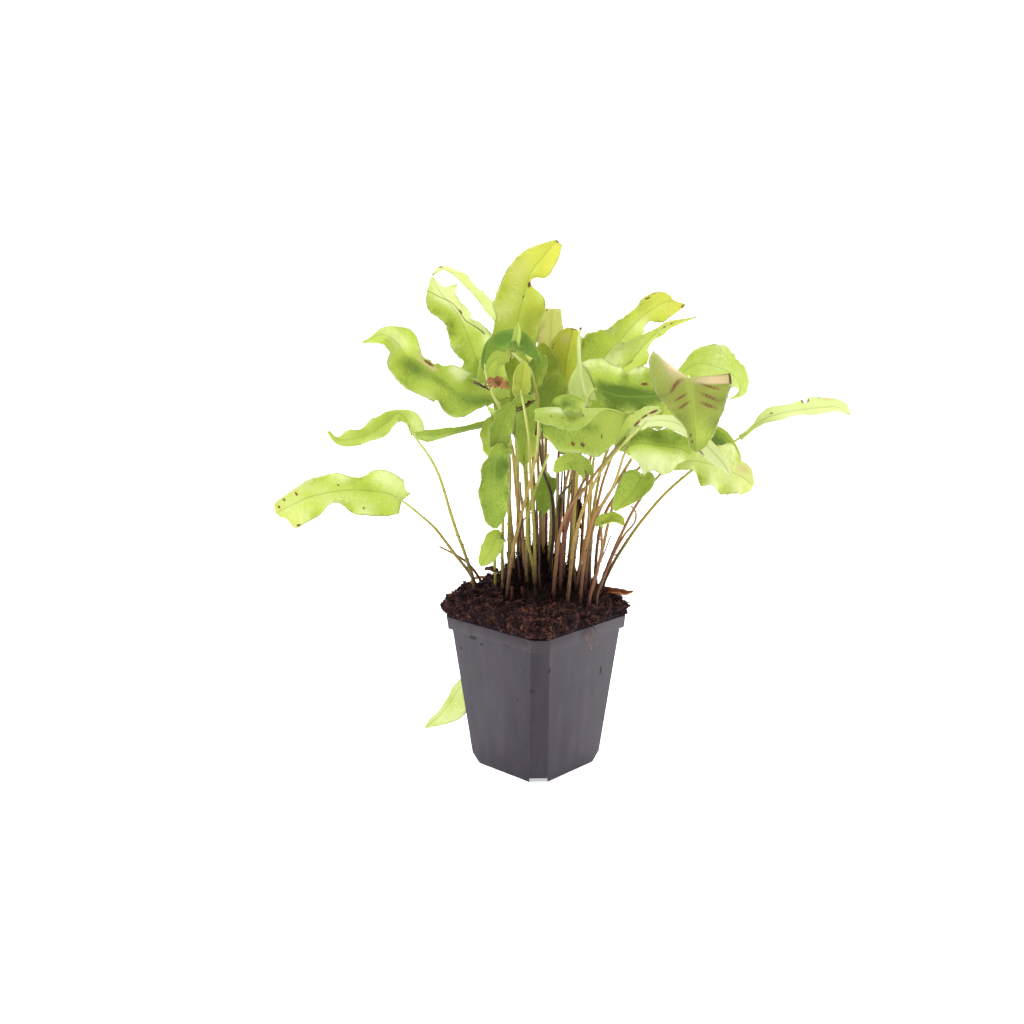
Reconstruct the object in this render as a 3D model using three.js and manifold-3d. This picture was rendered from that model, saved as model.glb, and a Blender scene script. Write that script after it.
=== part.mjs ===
// Potted fern: long-stalked fronds with waved, undivided strap blades, rising from a dark
// crown set in peat, in a square nursery pot with cut corners.
// Millimetres, +Z up. The origin is the centre of the pot's underside, the pot's sides face
// +-X and +-Y, and the plant stands turned in the pot.
import * as THREE from 'three';
import { mergeVertices } from 'three/addons/utils/BufferGeometryUtils.js';
import Module from 'manifold-3d';

const wasm = await Module();
wasm.setup();

// ---------------------------------------------------------------- driving dimensions
const gap = 0.3; // between pieces that touch
const quarter = Math.PI / 2;

const pot = {
  height: 99,
  rimHalf: 45, // half the width over the rim
  rimFoot: 44.3, // the same at the rim band's lower edge
  rimBand: 8, // height of the rim band
  topHalf: 42.4, // half the width of the body just under the band
  baseHalf: 33,
  corner: 8.2, // how much of each side the cut corner takes
  cornerBulge: 1.2,
  wall: 1,
  floor: 1.4,
  notch: 3, // height of the drain slot under each corner
  notchDepth: 9, // how far the slot runs in from the corner
};

const plantTurn = 42.1; // degrees from the pot's frame to the plant's frame

const soil = {
  sides: 34,
  brim: 44.7, // half the width where the peat lies on the rim
  lump: 1.1, // size of the heap's bumps
  heap: [[45, 4], [44.2, 9], [41.5, 12.5], [36, 14.4], [24, 16], [10, 17]], // half width, rise
};

const crown = {
  sides: 16,
  middle: [8, -2],
  peak: [0, 3], // where the hairy old stalk bases stand highest
  levels: [[97, 33, 27], [108, 37, 31], [114, 35, 29], [118, 27, 22], [123, 19, 16],
    [131, 12.5, 11], [140, 9.5, 8.5], [148, 5, 5]], // height, half width, half depth
  buried: 100, // what lies under this height is its underside
  shoulder: [112, 130], // between these heights it draws in to the peak
};

const stalk = { sides: 5, footRadius: 1.15, headRadius: 0.75, step: 27 };

const blade = {
  rowStep: 7.2,
  columns: 4,
  thickness: 0.7,
  ribDepth: 0.5, // the midrib stands this much below the blade
  base: 0.62, // share of the full width at the blade's base
  tip: 0.09, // and at its tip
  peak: 0.28, // how far along the blade reaches its full width
  taper: 1.7,
  fullness: 0.8,
  lobe: 0.16, // how far the heart-shaped base reaches back, as a share of the width
  lobeEnd: 0.2,
  scallop: 0.05, // the edge's in-and-out waves, as a share of the width
  scallopRate: 1.6,
  sideShift: 0.35, // the two edges wave out of step by this much of a wave
};

// Each frond is one path in the plant's frame (x to the right, y away, z up): the stalk's
// points and then the midrib's. face is the way the blade's upper side looks, from base to
// tip. fold lifts both halves, and curl rolls the right and the left half further up.
const fronds = {
  frond_left_arch: {
    stalk: [[-39, -5, 106], [-40, -7, 122], [-45, -17, 143], [-51, -29, 166], [-61, -37, 201]],
    rib: [[-73, -41, 222], [-80, -43, 230], [-95, -46, 227], [-110, -50, 219], [-123, -52, 224]],
    face: [[-0.2, -0.6, 0.8], [0, -0.65, 0.75], [0, -0.6, 0.8]],
    width: 25, fold: 0.1, curl: [0.2, 0.5], wave: 1.8, waves: 2.5, phase: 0.1,
  },
  frond_left_low: {
    stalk: [[-38, 2, 106], [-41, 1, 122], [-56, -2, 144], [-67, -5, 159]],
    rib: [[-84, -8, 172], [-97, -10, 179], [-117, -12, 183], [-136, -14, 181],
      [-149, -16, 175], [-164, -18, 164]],
    face: [[0, -0.85, 0.5], [0, -0.9, 0.4], [-0.3, -0.85, 0.4]],
    width: 29, fold: 0.1, curl: [0.2, 0.3], wave: 2.6, waves: 3, phase: 0.3,
  },
  frond_left_hook: {
    stalk: [[-16, -12, 106], [-17, -12, 120], [-17, -14, 165], [-17, -14, 205]],
    rib: [[-24, -13, 236], [-38, -16, 242], [-54, -20, 247], [-72, -25, 258],
      [-84, -28, 275], [-94, -31, 280], [-104, -33, 275]],
    face: [[0, -0.8, 0.6], [-0.1, -0.85, 0.5], [-0.5, -0.8, 0.3], [-0.2, -0.5, 0.85]],
    width: 29, fold: 0.15, curl: [0.3, 0.4], wave: 2.4, waves: 3, phase: 0.7,
  },
  frond_left_folded: {
    stalk: [[-12, -4, 106], [-13, -3, 120], [-17, 0, 170], [-20, 3, 210]],
    rib: [[-23, 5, 238], [-32, 5, 255], [-42, 4, 277], [-53, 3, 297], [-65, 3, 314]],
    face: [[-0.3, -0.9, 0.3], [-0.4, -0.85, 0.3]],
    width: 32, fold: 0.1, curl: [0.7, 0.2], wave: 1.8, waves: 3.5, phase: 0.2,
  },
  frond_left_thin: {
    stalk: [[-8, 14, 106], [-9, 15, 120], [-12, 24, 180], [-15, 30, 230]],
    rib: [[-18, 33, 262], [-24, 34, 280], [-37, 32, 298], [-50, 30, 312], [-60, 29, 318],
      [-67, 28, 314]],
    face: [[0.5, -0.5, 0.7], [0, -0.3, 0.95]],
    width: 14, fold: 0.3, curl: [0.3, 0.3], wave: 1.2, waves: 4, phase: 0,
  },
  frond_tallest: {
    stalk: [[4, 3, 106], [4, 3, 120], [2, 6, 170], [0, 9, 220], [-4, 12, 248]],
    rib: [[-14, 14, 268], [-12, 13, 284], [-8, 11, 303], [-1, 7, 321], [12, 2, 336]],
    face: [[0.1, -0.95, 0.2], [0.05, -0.95, 0.25], [0.2, -0.9, 0.3]],
    width: 31, fold: 0.1, curl: [0.2, 0.3], wave: 1.5, waves: 2, phase: 0.4,
  },
  frond_inner_left: {
    stalk: [[-12, 9, 106], [-12, 10, 120], [-12, 13, 170], [-12, 16, 205]],
    rib: [[-13, 19, 226], [-15, 22, 243], [-15, 24, 258], [-13, 25, 272]],
    face: [[0, -0.95, 0.3]],
    width: 25, fold: 0.15, curl: [0.3, 0.3], wave: 1.4, waves: 2, phase: 0.5,
  },
  frond_inner_right: {
    stalk: [[7, 13, 106], [7, 14, 120], [6, 18, 170], [4, 21, 205]],
    rib: [[3, 23, 226], [4, 25, 242], [5, 26, 256], [3, 26, 272]],
    face: [[0, -0.95, 0.3]],
    width: 21, fold: 0.15, curl: [0.3, 0.3], wave: 1.3, waves: 2, phase: 0.9,
  },
  frond_inner_shade: {
    stalk: [[33, -1, 106], [33, -1, 120], [34, -2, 165], [38, -3, 200]],
    rib: [[45, -4, 218], [56, -5, 232], [69, -6, 238], [82, -7, 235]],
    face: [[-0.1, -0.85, 0.5]],
    width: 25, fold: 0.2, curl: [0.3, 0.4], wave: 1.6, waves: 2, phase: 0.3,
  },
  frond_dark_arch: {
    stalk: [[-6, -15, 106], [-6, -16, 120], [-6, -22, 170], [-8, -28, 205], [-16, -30, 226],
      [-26, -30, 244]],
    rib: [[-33, -29, 265], [-30, -29, 279], [-20, -31, 287], [-8, -33, 288], [4, -34, 278],
      [10, -35, 264]],
    face: [[-0.9, 0.3, 0.3], [-0.2, 0.6, 0.8], [0.5, 0.5, 0.7], [0.9, 0.3, 0.2]],
    width: 21, fold: 0, curl: [0.2, 0.2], wave: 1.2, waves: 2.5, phase: 0.5,
  },
  frond_small_oval: {
    stalk: [[0, -17, 106], [0, -18, 120], [-2, -26, 170], [-5, -36, 220]],
    rib: [[-6, -40, 242], [-8, -43, 254], [-6, -41, 268]],
    face: [[0, -0.95, 0.3]],
    width: 12, fold: 0.2, curl: [0.4, 0.4], wave: 0.6, waves: 1.5, phase: 0,
  },
  frond_pink: {
    stalk: [[6, 23, 106], [6, 24, 120], [6, 34, 180], [7, 42, 225]],
    rib: [[7, 44, 246], [8, 44, 262], [9, 43, 278], [10, 42, 293]],
    face: [[0.1, -0.98, 0.1]],
    width: 17, fold: 0.1, curl: [0.2, 0.2], wave: 0.8, waves: 2, phase: 0.3, tip: 0.6,
  },
  frond_spotted: {
    stalk: [[13, 15, 106], [13, 16, 120], [14, 24, 180]],
    rib: [[15, 33, 232], [16, 34, 250], [18, 33, 268], [23, 32, 285]],
    face: [[-0.1, -0.95, 0.25]],
    width: 23, fold: 0.15, curl: [0.3, 0.3], wave: 1.4, waves: 2.5, phase: 0.6, tip: 0.4,
  },
  frond_pale_back: {
    stalk: [[17, -8, 106], [17, -9, 120], [20, -15, 180], [27, -20, 225]],
    rib: [[29, -22, 238], [27, -22, 252], [25, -22, 266], [23, -20, 286]],
    face: [[-0.2, 0.95, 0.2]],
    width: 19, fold: 0.2, curl: [0.4, 0.4], wave: 1.1, waves: 2, phase: 0.1,
  },
  frond_right_high: {
    stalk: [[24, 12, 106], [24, 13, 120], [26, 18, 180], [27, 22, 222]],
    rib: [[30, 23, 248], [44, 24, 265], [58, 24, 277], [74, 23, 290], [86, 21, 299],
      [97, 19, 299]],
    face: [[-0.4, -0.85, 0.35], [-0.3, -0.85, 0.45], [-0.2, -0.85, 0.5]],
    width: 30, fold: 0.1, curl: [0.2, 0.3], wave: 2.0, waves: 3, phase: 0.8, tip: 0.25,
  },
  frond_right_slim: {
    stalk: [[28, 4, 106], [28, 4, 120], [32, 6, 180], [38, 8, 225]],
    rib: [[43, 9, 246], [55, 9, 261], [66, 8, 273], [80, 6, 283], [100, 4, 290]],
    face: [[-0.3, -0.8, 0.5], [-0.3, -0.7, 0.65]],
    width: 22, fold: 0.2, curl: [0.3, 0.3], wave: 1.3, waves: 3, phase: 0.2,
  },
  frond_ruffled: {
    stalk: [[21, -18, 106], [21, -18, 120], [24, -26, 180], [28, -34, 220]],
    rib: [[31, -37, 243], [42, -42, 250], [54, -44, 251], [65, -45, 247], [74, -45, 241]],
    face: [[0, -0.7, 0.7], [0, -0.75, 0.65], [0.1, -0.75, 0.65]],
    width: 35, fold: 0.2, curl: [0.4, 0.5], wave: 2.6, waves: 2.5, phase: 0.4,
  },
  frond_right_arch: {
    stalk: [[34, -7, 106], [34, -7, 120], [36, -9, 170], [44, -14, 208], [60, -22, 235]],
    rib: [[79, -28, 249], [92, -29, 260], [107, -29, 263], [120, -27, 256], [125, -24, 243],
      [119, -21, 233]],
    face: [[-0.2, -0.7, 0.7], [0, -0.7, 0.7], [0.6, -0.6, 0.5], [0.9, -0.3, 0]],
    width: 29, fold: 0.1, curl: [0.2, 0.2], wave: 1.0, waves: 2, phase: 0,
  },
  frond_brown_veined: {
    stalk: [[31, -15, 106], [31, -16, 120], [34, -29, 170], [45, -45, 209], [58, -54, 236]],
    rib: [[72, -66, 250], [79, -71, 261], [83, -78, 263], [84, -85, 252], [88, -88, 236],
      [91, -89, 219]],
    face: [[-0.2, -0.3, 0.95], [0, -0.6, 0.8], [0, -0.95, 0.3], [0, -1, 0.1], [0, -1, 0]],
    width: 50, fold: -0.1, curl: [-0.3, -0.4], wave: 2.4, waves: 2.5, phase: 0.5,
    base: 0.8, peak: 0.15,
  },
  frond_far_right: {
    stalk: [[43, 2, 106], [44, 1, 120], [58, -2, 148], [80, -5, 178], [104, -6, 200]],
    rib: [[131, -6, 217], [148, -8, 226], [165, -12, 232], [180, -14, 235], [192, -16, 231]],
    face: [[0, -0.45, 0.9], [0, -0.4, 0.92], [0.3, -0.4, 0.85]],
    width: 19, fold: 0.2, curl: [0.2, 0.3], wave: 1.2, waves: 3, phase: 0.3,
  },
  frond_right_broad: {
    stalk: [[40, -9, 106], [41, -10, 120], [50, -18, 148], [62, -28, 178]],
    rib: [[77, -36, 203], [92, -38, 207], [108, -38, 202], [122, -37, 195], [132, -36, 189]],
    face: [[0, -0.7, 0.7], [0.1, -0.75, 0.65], [0.2, -0.8, 0.6]],
    width: 34, fold: 0.1, curl: [0.2, 0.3], wave: 2.0, waves: 2.5, phase: 0.1, tip: 0.4,
  },
  frond_right_dark: {
    stalk: [[38, 4, 106], [38, 4, 120], [42, 0, 165], [58, -7, 203], [84, -14, 228]],
    rib: [[99, -16, 235], [108, -17, 232], [114, -18, 220], [116, -18, 203]],
    face: [[0.2, -0.6, 0.7], [0.2, -0.9, 0.2], [0.2, -0.95, 0.1]],
    width: 19, fold: 0.1, curl: [0.3, 0.3], wave: 1.0, waves: 2, phase: 0.6,
  },
  frond_middle_pale: {
    stalk: [[20, -29, 106], [20, -30, 120], [25, -44, 165], [36, -56, 196]],
    rib: [[50, -62, 214], [64, -66, 227], [80, -69, 232], [95, -69, 226], [106, -68, 215],
      [112, -66, 206]],
    face: [[0, -0.4, 0.9], [0, -0.5, 0.85], [0.4, -0.7, 0.5]],
    width: 20, fold: 0.2, curl: [0.3, 0.3], wave: 1.4, waves: 3, phase: 0.2,
  },
  frond_front_round: {
    stalk: [[-17, -22, 106], [-18, -23, 120], [-14, -32, 150], [-4, -42, 185], [4, -49, 210]],
    rib: [[6, -55, 225], [16, -61, 229], [27, -64, 230], [39, -62, 228], [49, -56, 225]],
    face: [[0, -0.85, 0.5], [0, -0.9, 0.4], [0.2, -0.85, 0.45]],
    width: 38, fold: 0, curl: [0.3, 2.4], wave: 1.0, waves: 2, phase: 0.2, columns: 6,
    tip: 0.3,
  },
  frond_striped: {
    stalk: [[11, -25, 106], [11, -26, 120], [14, -29, 165], [24, -32, 192]],
    rib: [[34, -36, 208], [45, -40, 221], [55, -43, 230], [63, -45, 235]],
    face: [[-0.5, -0.6, 0.6]],
    width: 13, fold: 0.2, curl: [0.3, 0.3], wave: 1.0, waves: 2.5, phase: 0,
  },
  frond_middle_fold: {
    stalk: [[28, -25, 106], [28, -26, 120], [33, -33, 165], [44, -41, 193]],
    rib: [[55, -45, 207], [65, -48, 214], [76, -51, 215], [88, -53, 209]],
    face: [[0, -0.65, 0.75]],
    width: 25, fold: 0.3, curl: [0.4, 0.4], wave: 1.8, waves: 2, phase: 0.4,
  },
  frond_hanging_right: {
    stalk: [[36, -15, 106], [36, -16, 120], [43, -24, 155], [48, -29, 182], [54, -34, 198]],
    rib: [[60, -39, 200], [61, -43, 194], [58, -45, 183], [52, -44, 171]],
    face: [[0.5, -0.3, 0.8], [0.1, -0.95, 0.2], [0, -1, 0]],
    width: 24, fold: 0.2, curl: [0.3, 0.3], wave: 1.2, waves: 1.5, phase: 0.3,
  },
  frond_small_curl: {
    stalk: [[33, -25, 106], [34, -26, 120], [42, -31, 145]],
    rib: [[48, -34, 158], [52, -36, 163], [58, -37, 162], [61, -37, 157]],
    face: [[0, -0.4, 0.9]],
    width: 9, fold: 0.4, curl: [0.6, 0.6], wave: 0.5, waves: 1.5, phase: 0,
  },
  frond_hanging_left: {
    stalk: [[-20, -11, 106], [-21, -12, 120], [-21, -18, 160], [-19, -26, 200]],
    rib: [[-17, -31, 214], [-20, -35, 218], [-25, -38, 210], [-27, -40, 195], [-27, -40, 178],
      [-24, -39, 166]],
    face: [[0, -0.5, 0.85], [-0.3, -0.9, 0.3], [-0.2, -0.98, 0], [0, -1, -0.1]],
    width: 20, fold: 0.15, curl: [0.3, 0.3], wave: 1.5, waves: 3, phase: 0.7,
  },
  frond_small_left: {
    stalk: [[-25, -5, 106], [-26, -6, 120], [-26, -14, 143]],
    rib: [[-24, -20, 156], [-25, -24, 157], [-28, -27, 149], [-33, -28, 137]],
    face: [[-0.2, -0.9, 0.4]],
    width: 14, fold: 0.2, curl: [0.3, 0.3], wave: 0.7, waves: 1.5, phase: 0.2,
  },
  frond_narrow_middle: {
    stalk: [[-4, -9, 106], [-4, -9, 120], [-5, -14, 170], [-8, -19, 210], [-13, -22, 235]],
    rib: [[-15, -23, 244], [-10, -25, 247], [-6, -26, 237], [-4, -27, 223], [-3, -27, 210]],
    face: [[0.2, -0.6, 0.75], [0.2, -0.95, 0.2]],
    width: 17, fold: 0.2, curl: [0.3, 0.3], wave: 1.0, waves: 2, phase: 0.5,
  },
  frond_lower_middle: {
    stalk: [[15, -17, 106], [15, -18, 120], [18, -26, 160], [26, -37, 188]],
    rib: [[30, -43, 198], [25, -46, 205], [18, -47, 206], [10, -47, 201]],
    face: [[0, -0.7, 0.7]],
    width: 14, fold: 0.1, curl: [0.2, 0.3], wave: 1.0, waves: 2, phase: 0.1,
  },
  frond_inner_dark: {
    stalk: [[8, -3, 106], [8, -3, 120], [9, -5, 160], [9, -6, 180]],
    rib: [[9, -8, 190], [7, -11, 190], [5, -13, 180], [4, -13, 167]],
    face: [[0.2, -0.4, 0.9], [0, -1, 0.1]],
    width: 13, fold: 0.1, curl: [0.3, 0.3], wave: 0.8, waves: 1.5, phase: 0.3,
  },
  frond_left_flat: {
    stalk: [[-13, 6, 106], [-14, 7, 120], [-18, 8, 165], [-22, 7, 198]],
    rib: [[-28, 2, 216], [-42, -6, 221], [-60, -15, 217], [-78, -23, 214]],
    face: [[0, -0.5, 0.85]],
    width: 16, fold: 0.1, curl: [0.3, 0.3], wave: 0.9, waves: 2.5, phase: 0.4,
  },
  frond_low_back: {
    stalk: [[-27, 20, 104], [-31, 25, 112], [-37, 32, 115], [-44, 38, 110], [-47, 39, 98]],
    rib: [[-48, 38, 84], [-49, 35, 70], [-51, 29, 53], [-59, 22, 34], [-73, 17, 13]],
    face: [[-0.3, 0.9, 0.3], [-0.7, 0.5, 0.4], [-0.6, -0.7, 0.4], [-0.4, -0.85, 0.3]],
    width: 27, fold: 0.1, curl: [0.2, 0.2], wave: 1.5, waves: 2.5, phase: 0.2,
  },
  frond_back_high: {
    stalk: [[-1, 24, 106], [-1, 25, 120], [-2, 40, 180], [-1, 52, 222]],
    rib: [[0, 60, 242], [2, 70, 252], [4, 86, 258], [6, 104, 252]],
    face: [[0, -0.3, 0.95], [0, 0.3, 0.95]],
    width: 27, fold: 0.2, curl: [0.2, 0.3], wave: 2.0, waves: 2.5, phase: 0.1,
  },
  frond_back_left: {
    stalk: [[-9, 23, 106], [-10, 25, 120], [-13, 38, 165], [-16, 50, 196]],
    rib: [[-19, 60, 211], [-21, 72, 220], [-23, 86, 221], [-23, 100, 212]],
    face: [[-0.1, -0.2, 0.95], [-0.2, 0.4, 0.9]],
    width: 24, fold: 0.2, curl: [0.3, 0.2], wave: 1.8, waves: 2.5, phase: 0.5,
  },
  frond_back_right: {
    stalk: [[12, 28, 106], [12, 30, 120], [19, 44, 172], [29, 56, 212]],
    rib: [[36, 62, 228], [46, 72, 236], [60, 84, 238], [75, 94, 230]],
    face: [[-0.2, -0.2, 0.95], [0.3, 0.3, 0.9]],
    width: 26, fold: 0.2, curl: [0.3, 0.3], wave: 2.0, waves: 2.5, phase: 0.3,
  },
  frond_back_low: {
    stalk: [[20, 24, 106], [21, 26, 120], [24, 40, 155], [24, 52, 180]],
    rib: [[24, 62, 194], [27, 74, 202], [31, 90, 200], [34, 105, 190]],
    face: [[0, -0.2, 0.95], [0.1, 0.4, 0.9]],
    width: 24, fold: 0.15, curl: [0.3, 0.3], wave: 1.6, waves: 2, phase: 0.7,
  },
  frond_back_far: {
    stalk: [[4, 31, 106], [4, 33, 120], [5, 50, 160], [6, 66, 188]],
    rib: [[6, 78, 202], [7, 92, 212], [9, 112, 211], [12, 130, 199]],
    face: [[0, -0.3, 0.95], [0, 0.4, 0.9]],
    width: 25, fold: 0.2, curl: [0.3, 0.2], wave: 2.0, waves: 3, phase: 0.2,
  },
  frond_back_side: {
    stalk: [[30, 20, 106], [31, 22, 120], [42, 33, 172], [55, 43, 208]],
    rib: [[64, 48, 222], [76, 56, 231], [90, 62, 232], [103, 66, 224]],
    face: [[-0.2, -0.3, 0.95], [0.3, 0, 0.95]],
    width: 24, fold: 0.15, curl: [0.3, 0.3], wave: 1.6, waves: 2.5, phase: 0.4,
  },
  stalk_bare_left: {
    stalk: [[-34, 9, 106], [-36, 9, 118], [-46, 7, 132], [-57, 6, 139], [-63, 6, 142]],
  },
  stalk_bare_right: {
    stalk: [[38, -21, 106], [39, -22, 120], [46, -26, 140], [54, -30, 158], [60, -31, 166],
      [61, -32, 173], [58, -33, 177]],
  },
};

// ---------------------------------------------------------------- solids
const v3 = (p) => new THREE.Vector3(...p);
const upright = v3([0, 0, 1]);

function toSolid(points, triangles) {
  const mesh = new wasm.Mesh({
    numProp: 3,
    vertProperties: new Float32Array(points.flatMap((p) => [p.x, p.y, p.z])),
    triVerts: new Uint32Array(triangles.flat()),
  });
  return new wasm.Manifold(mesh);
}

function toMesh(name, solid, material) {
  const { vertProperties, triVerts } = solid.getMesh();
  const geometry = new THREE.BufferGeometry();
  geometry.setAttribute('position', new THREE.BufferAttribute(vertProperties, 3));
  geometry.setIndex(new THREE.BufferAttribute(triVerts, 1));
  geometry.computeVertexNormals();
  const mesh = new THREE.Mesh(geometry, material);
  mesh.name = name;
  return mesh;
}

// A closed solid through rings of equal count, each counter-clockwise seen from its far end.
function loft(rings) {
  const sides = rings[0].length;
  const points = rings.flat();
  const triangles = [];
  for (let i = 0; i < rings.length - 1; i += 1) {
    for (let j = 0; j < sides; j += 1) {
      const a = i * sides + j;
      const b = i * sides + (j + 1) % sides;
      triangles.push([a, b, b + sides], [a, b + sides, a + sides]);
    }
  }
  [0, rings.length - 1].forEach((ring) => {
    const middle = points.length;
    const centre = new THREE.Vector3();
    rings[ring].forEach((p) => centre.addScaledVector(p, 1 / sides));
    points.push(centre);
    for (let j = 0; j < sides; j += 1) {
      const a = ring * sides + j;
      const b = ring * sides + (j + 1) % sides;
      triangles.push(ring === 0 ? [middle, b, a] : [middle, a, b]);
    }
  });
  return toSolid(points, triangles);
}

function largest(solid) {
  const bodies = solid.decompose();
  return bodies.reduce((a, b) => (b.volume() > a.volume() ? b : a));
}

// ---------------------------------------------------------------- pot
// One ring of the pot: a square with slightly bulged cut corners.
function potRing(half, z) {
  const ring = [];
  for (let corner = 0; corner < 4; corner += 1) {
    for (let i = 0; i <= 4; i += 1) {
      const along = i / 4;
      const out = pot.cornerBulge * Math.sin(Math.PI * along) / Math.SQRT2;
      const x = half - pot.corner * along + out;
      const y = half - pot.corner * (1 - along) + out;
      ring.push(new THREE.Vector3(x, y, z).applyAxisAngle(upright, corner * quarter));
    }
  }
  return ring;
}

const bandFoot = pot.height - pot.rimBand;
const bodyHalfAt = (z) => THREE.MathUtils.lerp(pot.baseHalf, pot.topHalf, z / bandFoot);

function makePot() {
  const outside = loft([
    potRing(pot.baseHalf, 0),
    potRing(pot.topHalf, bandFoot),
    potRing(pot.rimFoot, bandFoot),
    potRing(pot.rimHalf, pot.height),
  ]);
  const step = bandFoot + pot.wall;
  const inside = loft([
    potRing(bodyHalfAt(pot.floor) - pot.wall, pot.floor),
    potRing(pot.topHalf - pot.wall, step),
    potRing(pot.rimFoot - pot.wall, step),
    potRing(pot.rimHalf - pot.wall, pot.height + 1),
  ]);
  let body = outside.subtract(inside);
  const slotWidth = pot.corner * Math.SQRT2;
  const cornerAt = pot.baseHalf * Math.SQRT2 - pot.corner / Math.SQRT2;
  for (let corner = 0; corner < 4; corner += 1) {
    const slot = new THREE.BoxGeometry(2 * pot.notchDepth, slotWidth, 2 * pot.notch);
    slot.translate(cornerAt, 0, 0);
    slot.rotateZ((corner + 0.5) * quarter);
    body = body.subtract(fromGeometry(slot));
  }
  return body;
}

// A three.js geometry as a solid, its shared vertices joined.
function fromGeometry(geometry) {
  geometry.deleteAttribute('normal');
  geometry.deleteAttribute('uv');
  const merged = mergeVertices(geometry);
  return new wasm.Manifold(new wasm.Mesh({
    numProp: 3,
    vertProperties: merged.getAttribute('position').array,
    triVerts: new Uint32Array(merged.index.array),
  }));
}

// ---------------------------------------------------------------- soil and crown
// The pot's plan seen from its middle, in the plant's frame.
function planRadius(angle, half) {
  const c = Math.abs(Math.cos(angle));
  const s = Math.abs(Math.sin(angle));
  return Math.min(half / Math.max(c, s), (2 * half - pot.corner) / (c + s));
}

function soilRing(half, z, lump) {
  const ring = [];
  for (let i = 0; i < soil.sides; i += 1) {
    const angle = (i / soil.sides) * 2 * Math.PI;
    const rough = Math.sin(7 * angle + 0.3 * z) + Math.sin(11 * angle + 1.7 + 0.5 * half);
    const radius = planRadius(angle, half) + 0.5 * lump * (rough - 1);
    const turned = angle - THREE.MathUtils.degToRad(plantTurn);
    const height = z + 0.5 * lump * (Math.sin(5 * angle + half) + Math.sin(13 * angle));
    ring.push(new THREE.Vector3(radius * Math.cos(turned), radius * Math.sin(turned), height));
  }
  return ring;
}

function makeSoil(cuts) {
  const low = pot.floor + gap;
  const snug = pot.wall + 1.2 * gap;
  const body = loft([
    soilRing(bodyHalfAt(low) - snug, low, 0),
    soilRing(pot.topHalf - snug, bandFoot, 0),
    soilRing(pot.topHalf - snug, pot.height + gap, 0),
    soilRing(soil.brim, pot.height + gap, 0),
    ...soil.heap.map(([half, rise]) => soilRing(half, pot.height + rise, soil.lump)),
  ]);
  return largest(body.subtract(wasm.Manifold.union(cuts)));
}

// A low clump of old stalk bases: wide in the peat, with one shaggy peak.
function crownShape(grow) {
  const rings = crown.levels.map(([z, wide, deep]) => {
    const rise = THREE.MathUtils.smoothstep(z, ...crown.shoulder);
    const x = THREE.MathUtils.lerp(crown.middle[0], crown.peak[0], rise);
    const y = THREE.MathUtils.lerp(crown.middle[1], crown.peak[1], rise);
    const ring = [];
    for (let i = 0; i < crown.sides; i += 1) {
      const angle = (i / crown.sides) * 2 * Math.PI;
      const rough = 1 + 0.05 * Math.sin(5 * angle + z) + 0.04 * Math.sin(8 * angle + 0.4 * z);
      ring.push(new THREE.Vector3(
        x + (wide * rough + grow) * Math.cos(angle),
        y + (deep * rough + grow) * Math.sin(angle),
        z + (z < crown.buried ? -grow : grow),
      ));
    }
    return ring;
  });
  return loft(rings);
}

// ---------------------------------------------------------------- fronds
// Points evenly spaced along the smooth curve through a frond's points, between two of them.
function evenPoints(path, first, last, count) {
  const curve = new THREE.CatmullRomCurve3(path.map(v3), false, 'catmullrom', 0.5);
  const fine = [];
  const total = Math.ceil(24 * (last - first));
  for (let i = 0; i <= total; i += 1) {
    const u = first + (last - first) * (i / total);
    fine.push(curve.getPoint(u / (path.length - 1)));
  }
  const reach = [0];
  for (let i = 1; i < fine.length; i += 1) {
    reach.push(reach[i - 1] + fine[i].distanceTo(fine[i - 1]));
  }
  const points = [];
  let k = 1;
  for (let i = 0; i <= count; i += 1) {
    const want = reach[total] * (i / count);
    while (k < total && reach[k] < want) k += 1;
    const share = (want - reach[k - 1]) / (reach[k] - reach[k - 1]);
    points.push(fine[k - 1].clone().lerp(fine[k], share));
  }
  return { points, length: reach[total] };
}

function tangentAt(points, i) {
  const before = points[Math.max(i - 1, 0)];
  const after = points[Math.min(i + 1, points.length - 1)];
  return after.clone().sub(before).normalize();
}

function makeTube(points, radiusAt, sides) {
  let side = v3([1, 0, 0]);
  const rings = points.map((centre, i) => {
    const along = tangentAt(points, i);
    side = side.addScaledVector(along, -side.dot(along)).normalize();
    const other = along.clone().cross(side);
    const ring = [];
    for (let j = 0; j < sides; j += 1) {
      const angle = (j / sides) * 2 * Math.PI;
      const radius = radiusAt(i / (points.length - 1));
      ring.push(centre.clone()
        .addScaledVector(side, radius * Math.cos(angle))
        .addScaledVector(other, radius * Math.sin(angle)));
    }
    side = side.clone();
    return ring;
  });
  return loft(rings);
}

function stalkPoints({ stalk: foot, rib = [] }) {
  const path = [...foot, ...rib];
  const last = rib.length ? foot.length + 0.35 : foot.length - 1;
  const { length } = evenPoints(path, 0, last, 1);
  return evenPoints(path, 0, last, Math.max(5, Math.round(length / stalk.step) + 3)).points;
}

const stalkRadius = (t) => THREE.MathUtils.lerp(stalk.footRadius, stalk.headRadius, t);

// The stalk's hole in what it stands in, a little deeper than its foot.
function stalkHole(frond) {
  const points = stalkPoints(frond);
  points[0].addScaledVector(tangentAt(points, 0), -gap);
  return makeTube(points, (t) => stalkRadius(t) + gap, stalk.sides);
}

function faceAt(face, t) {
  const at = t * (face.length - 1);
  const i = Math.min(Math.floor(at), face.length - 2);
  if (face.length === 1) return v3(face[0]);
  return v3(face[i]).lerp(v3(face[i + 1]), at - i);
}

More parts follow.
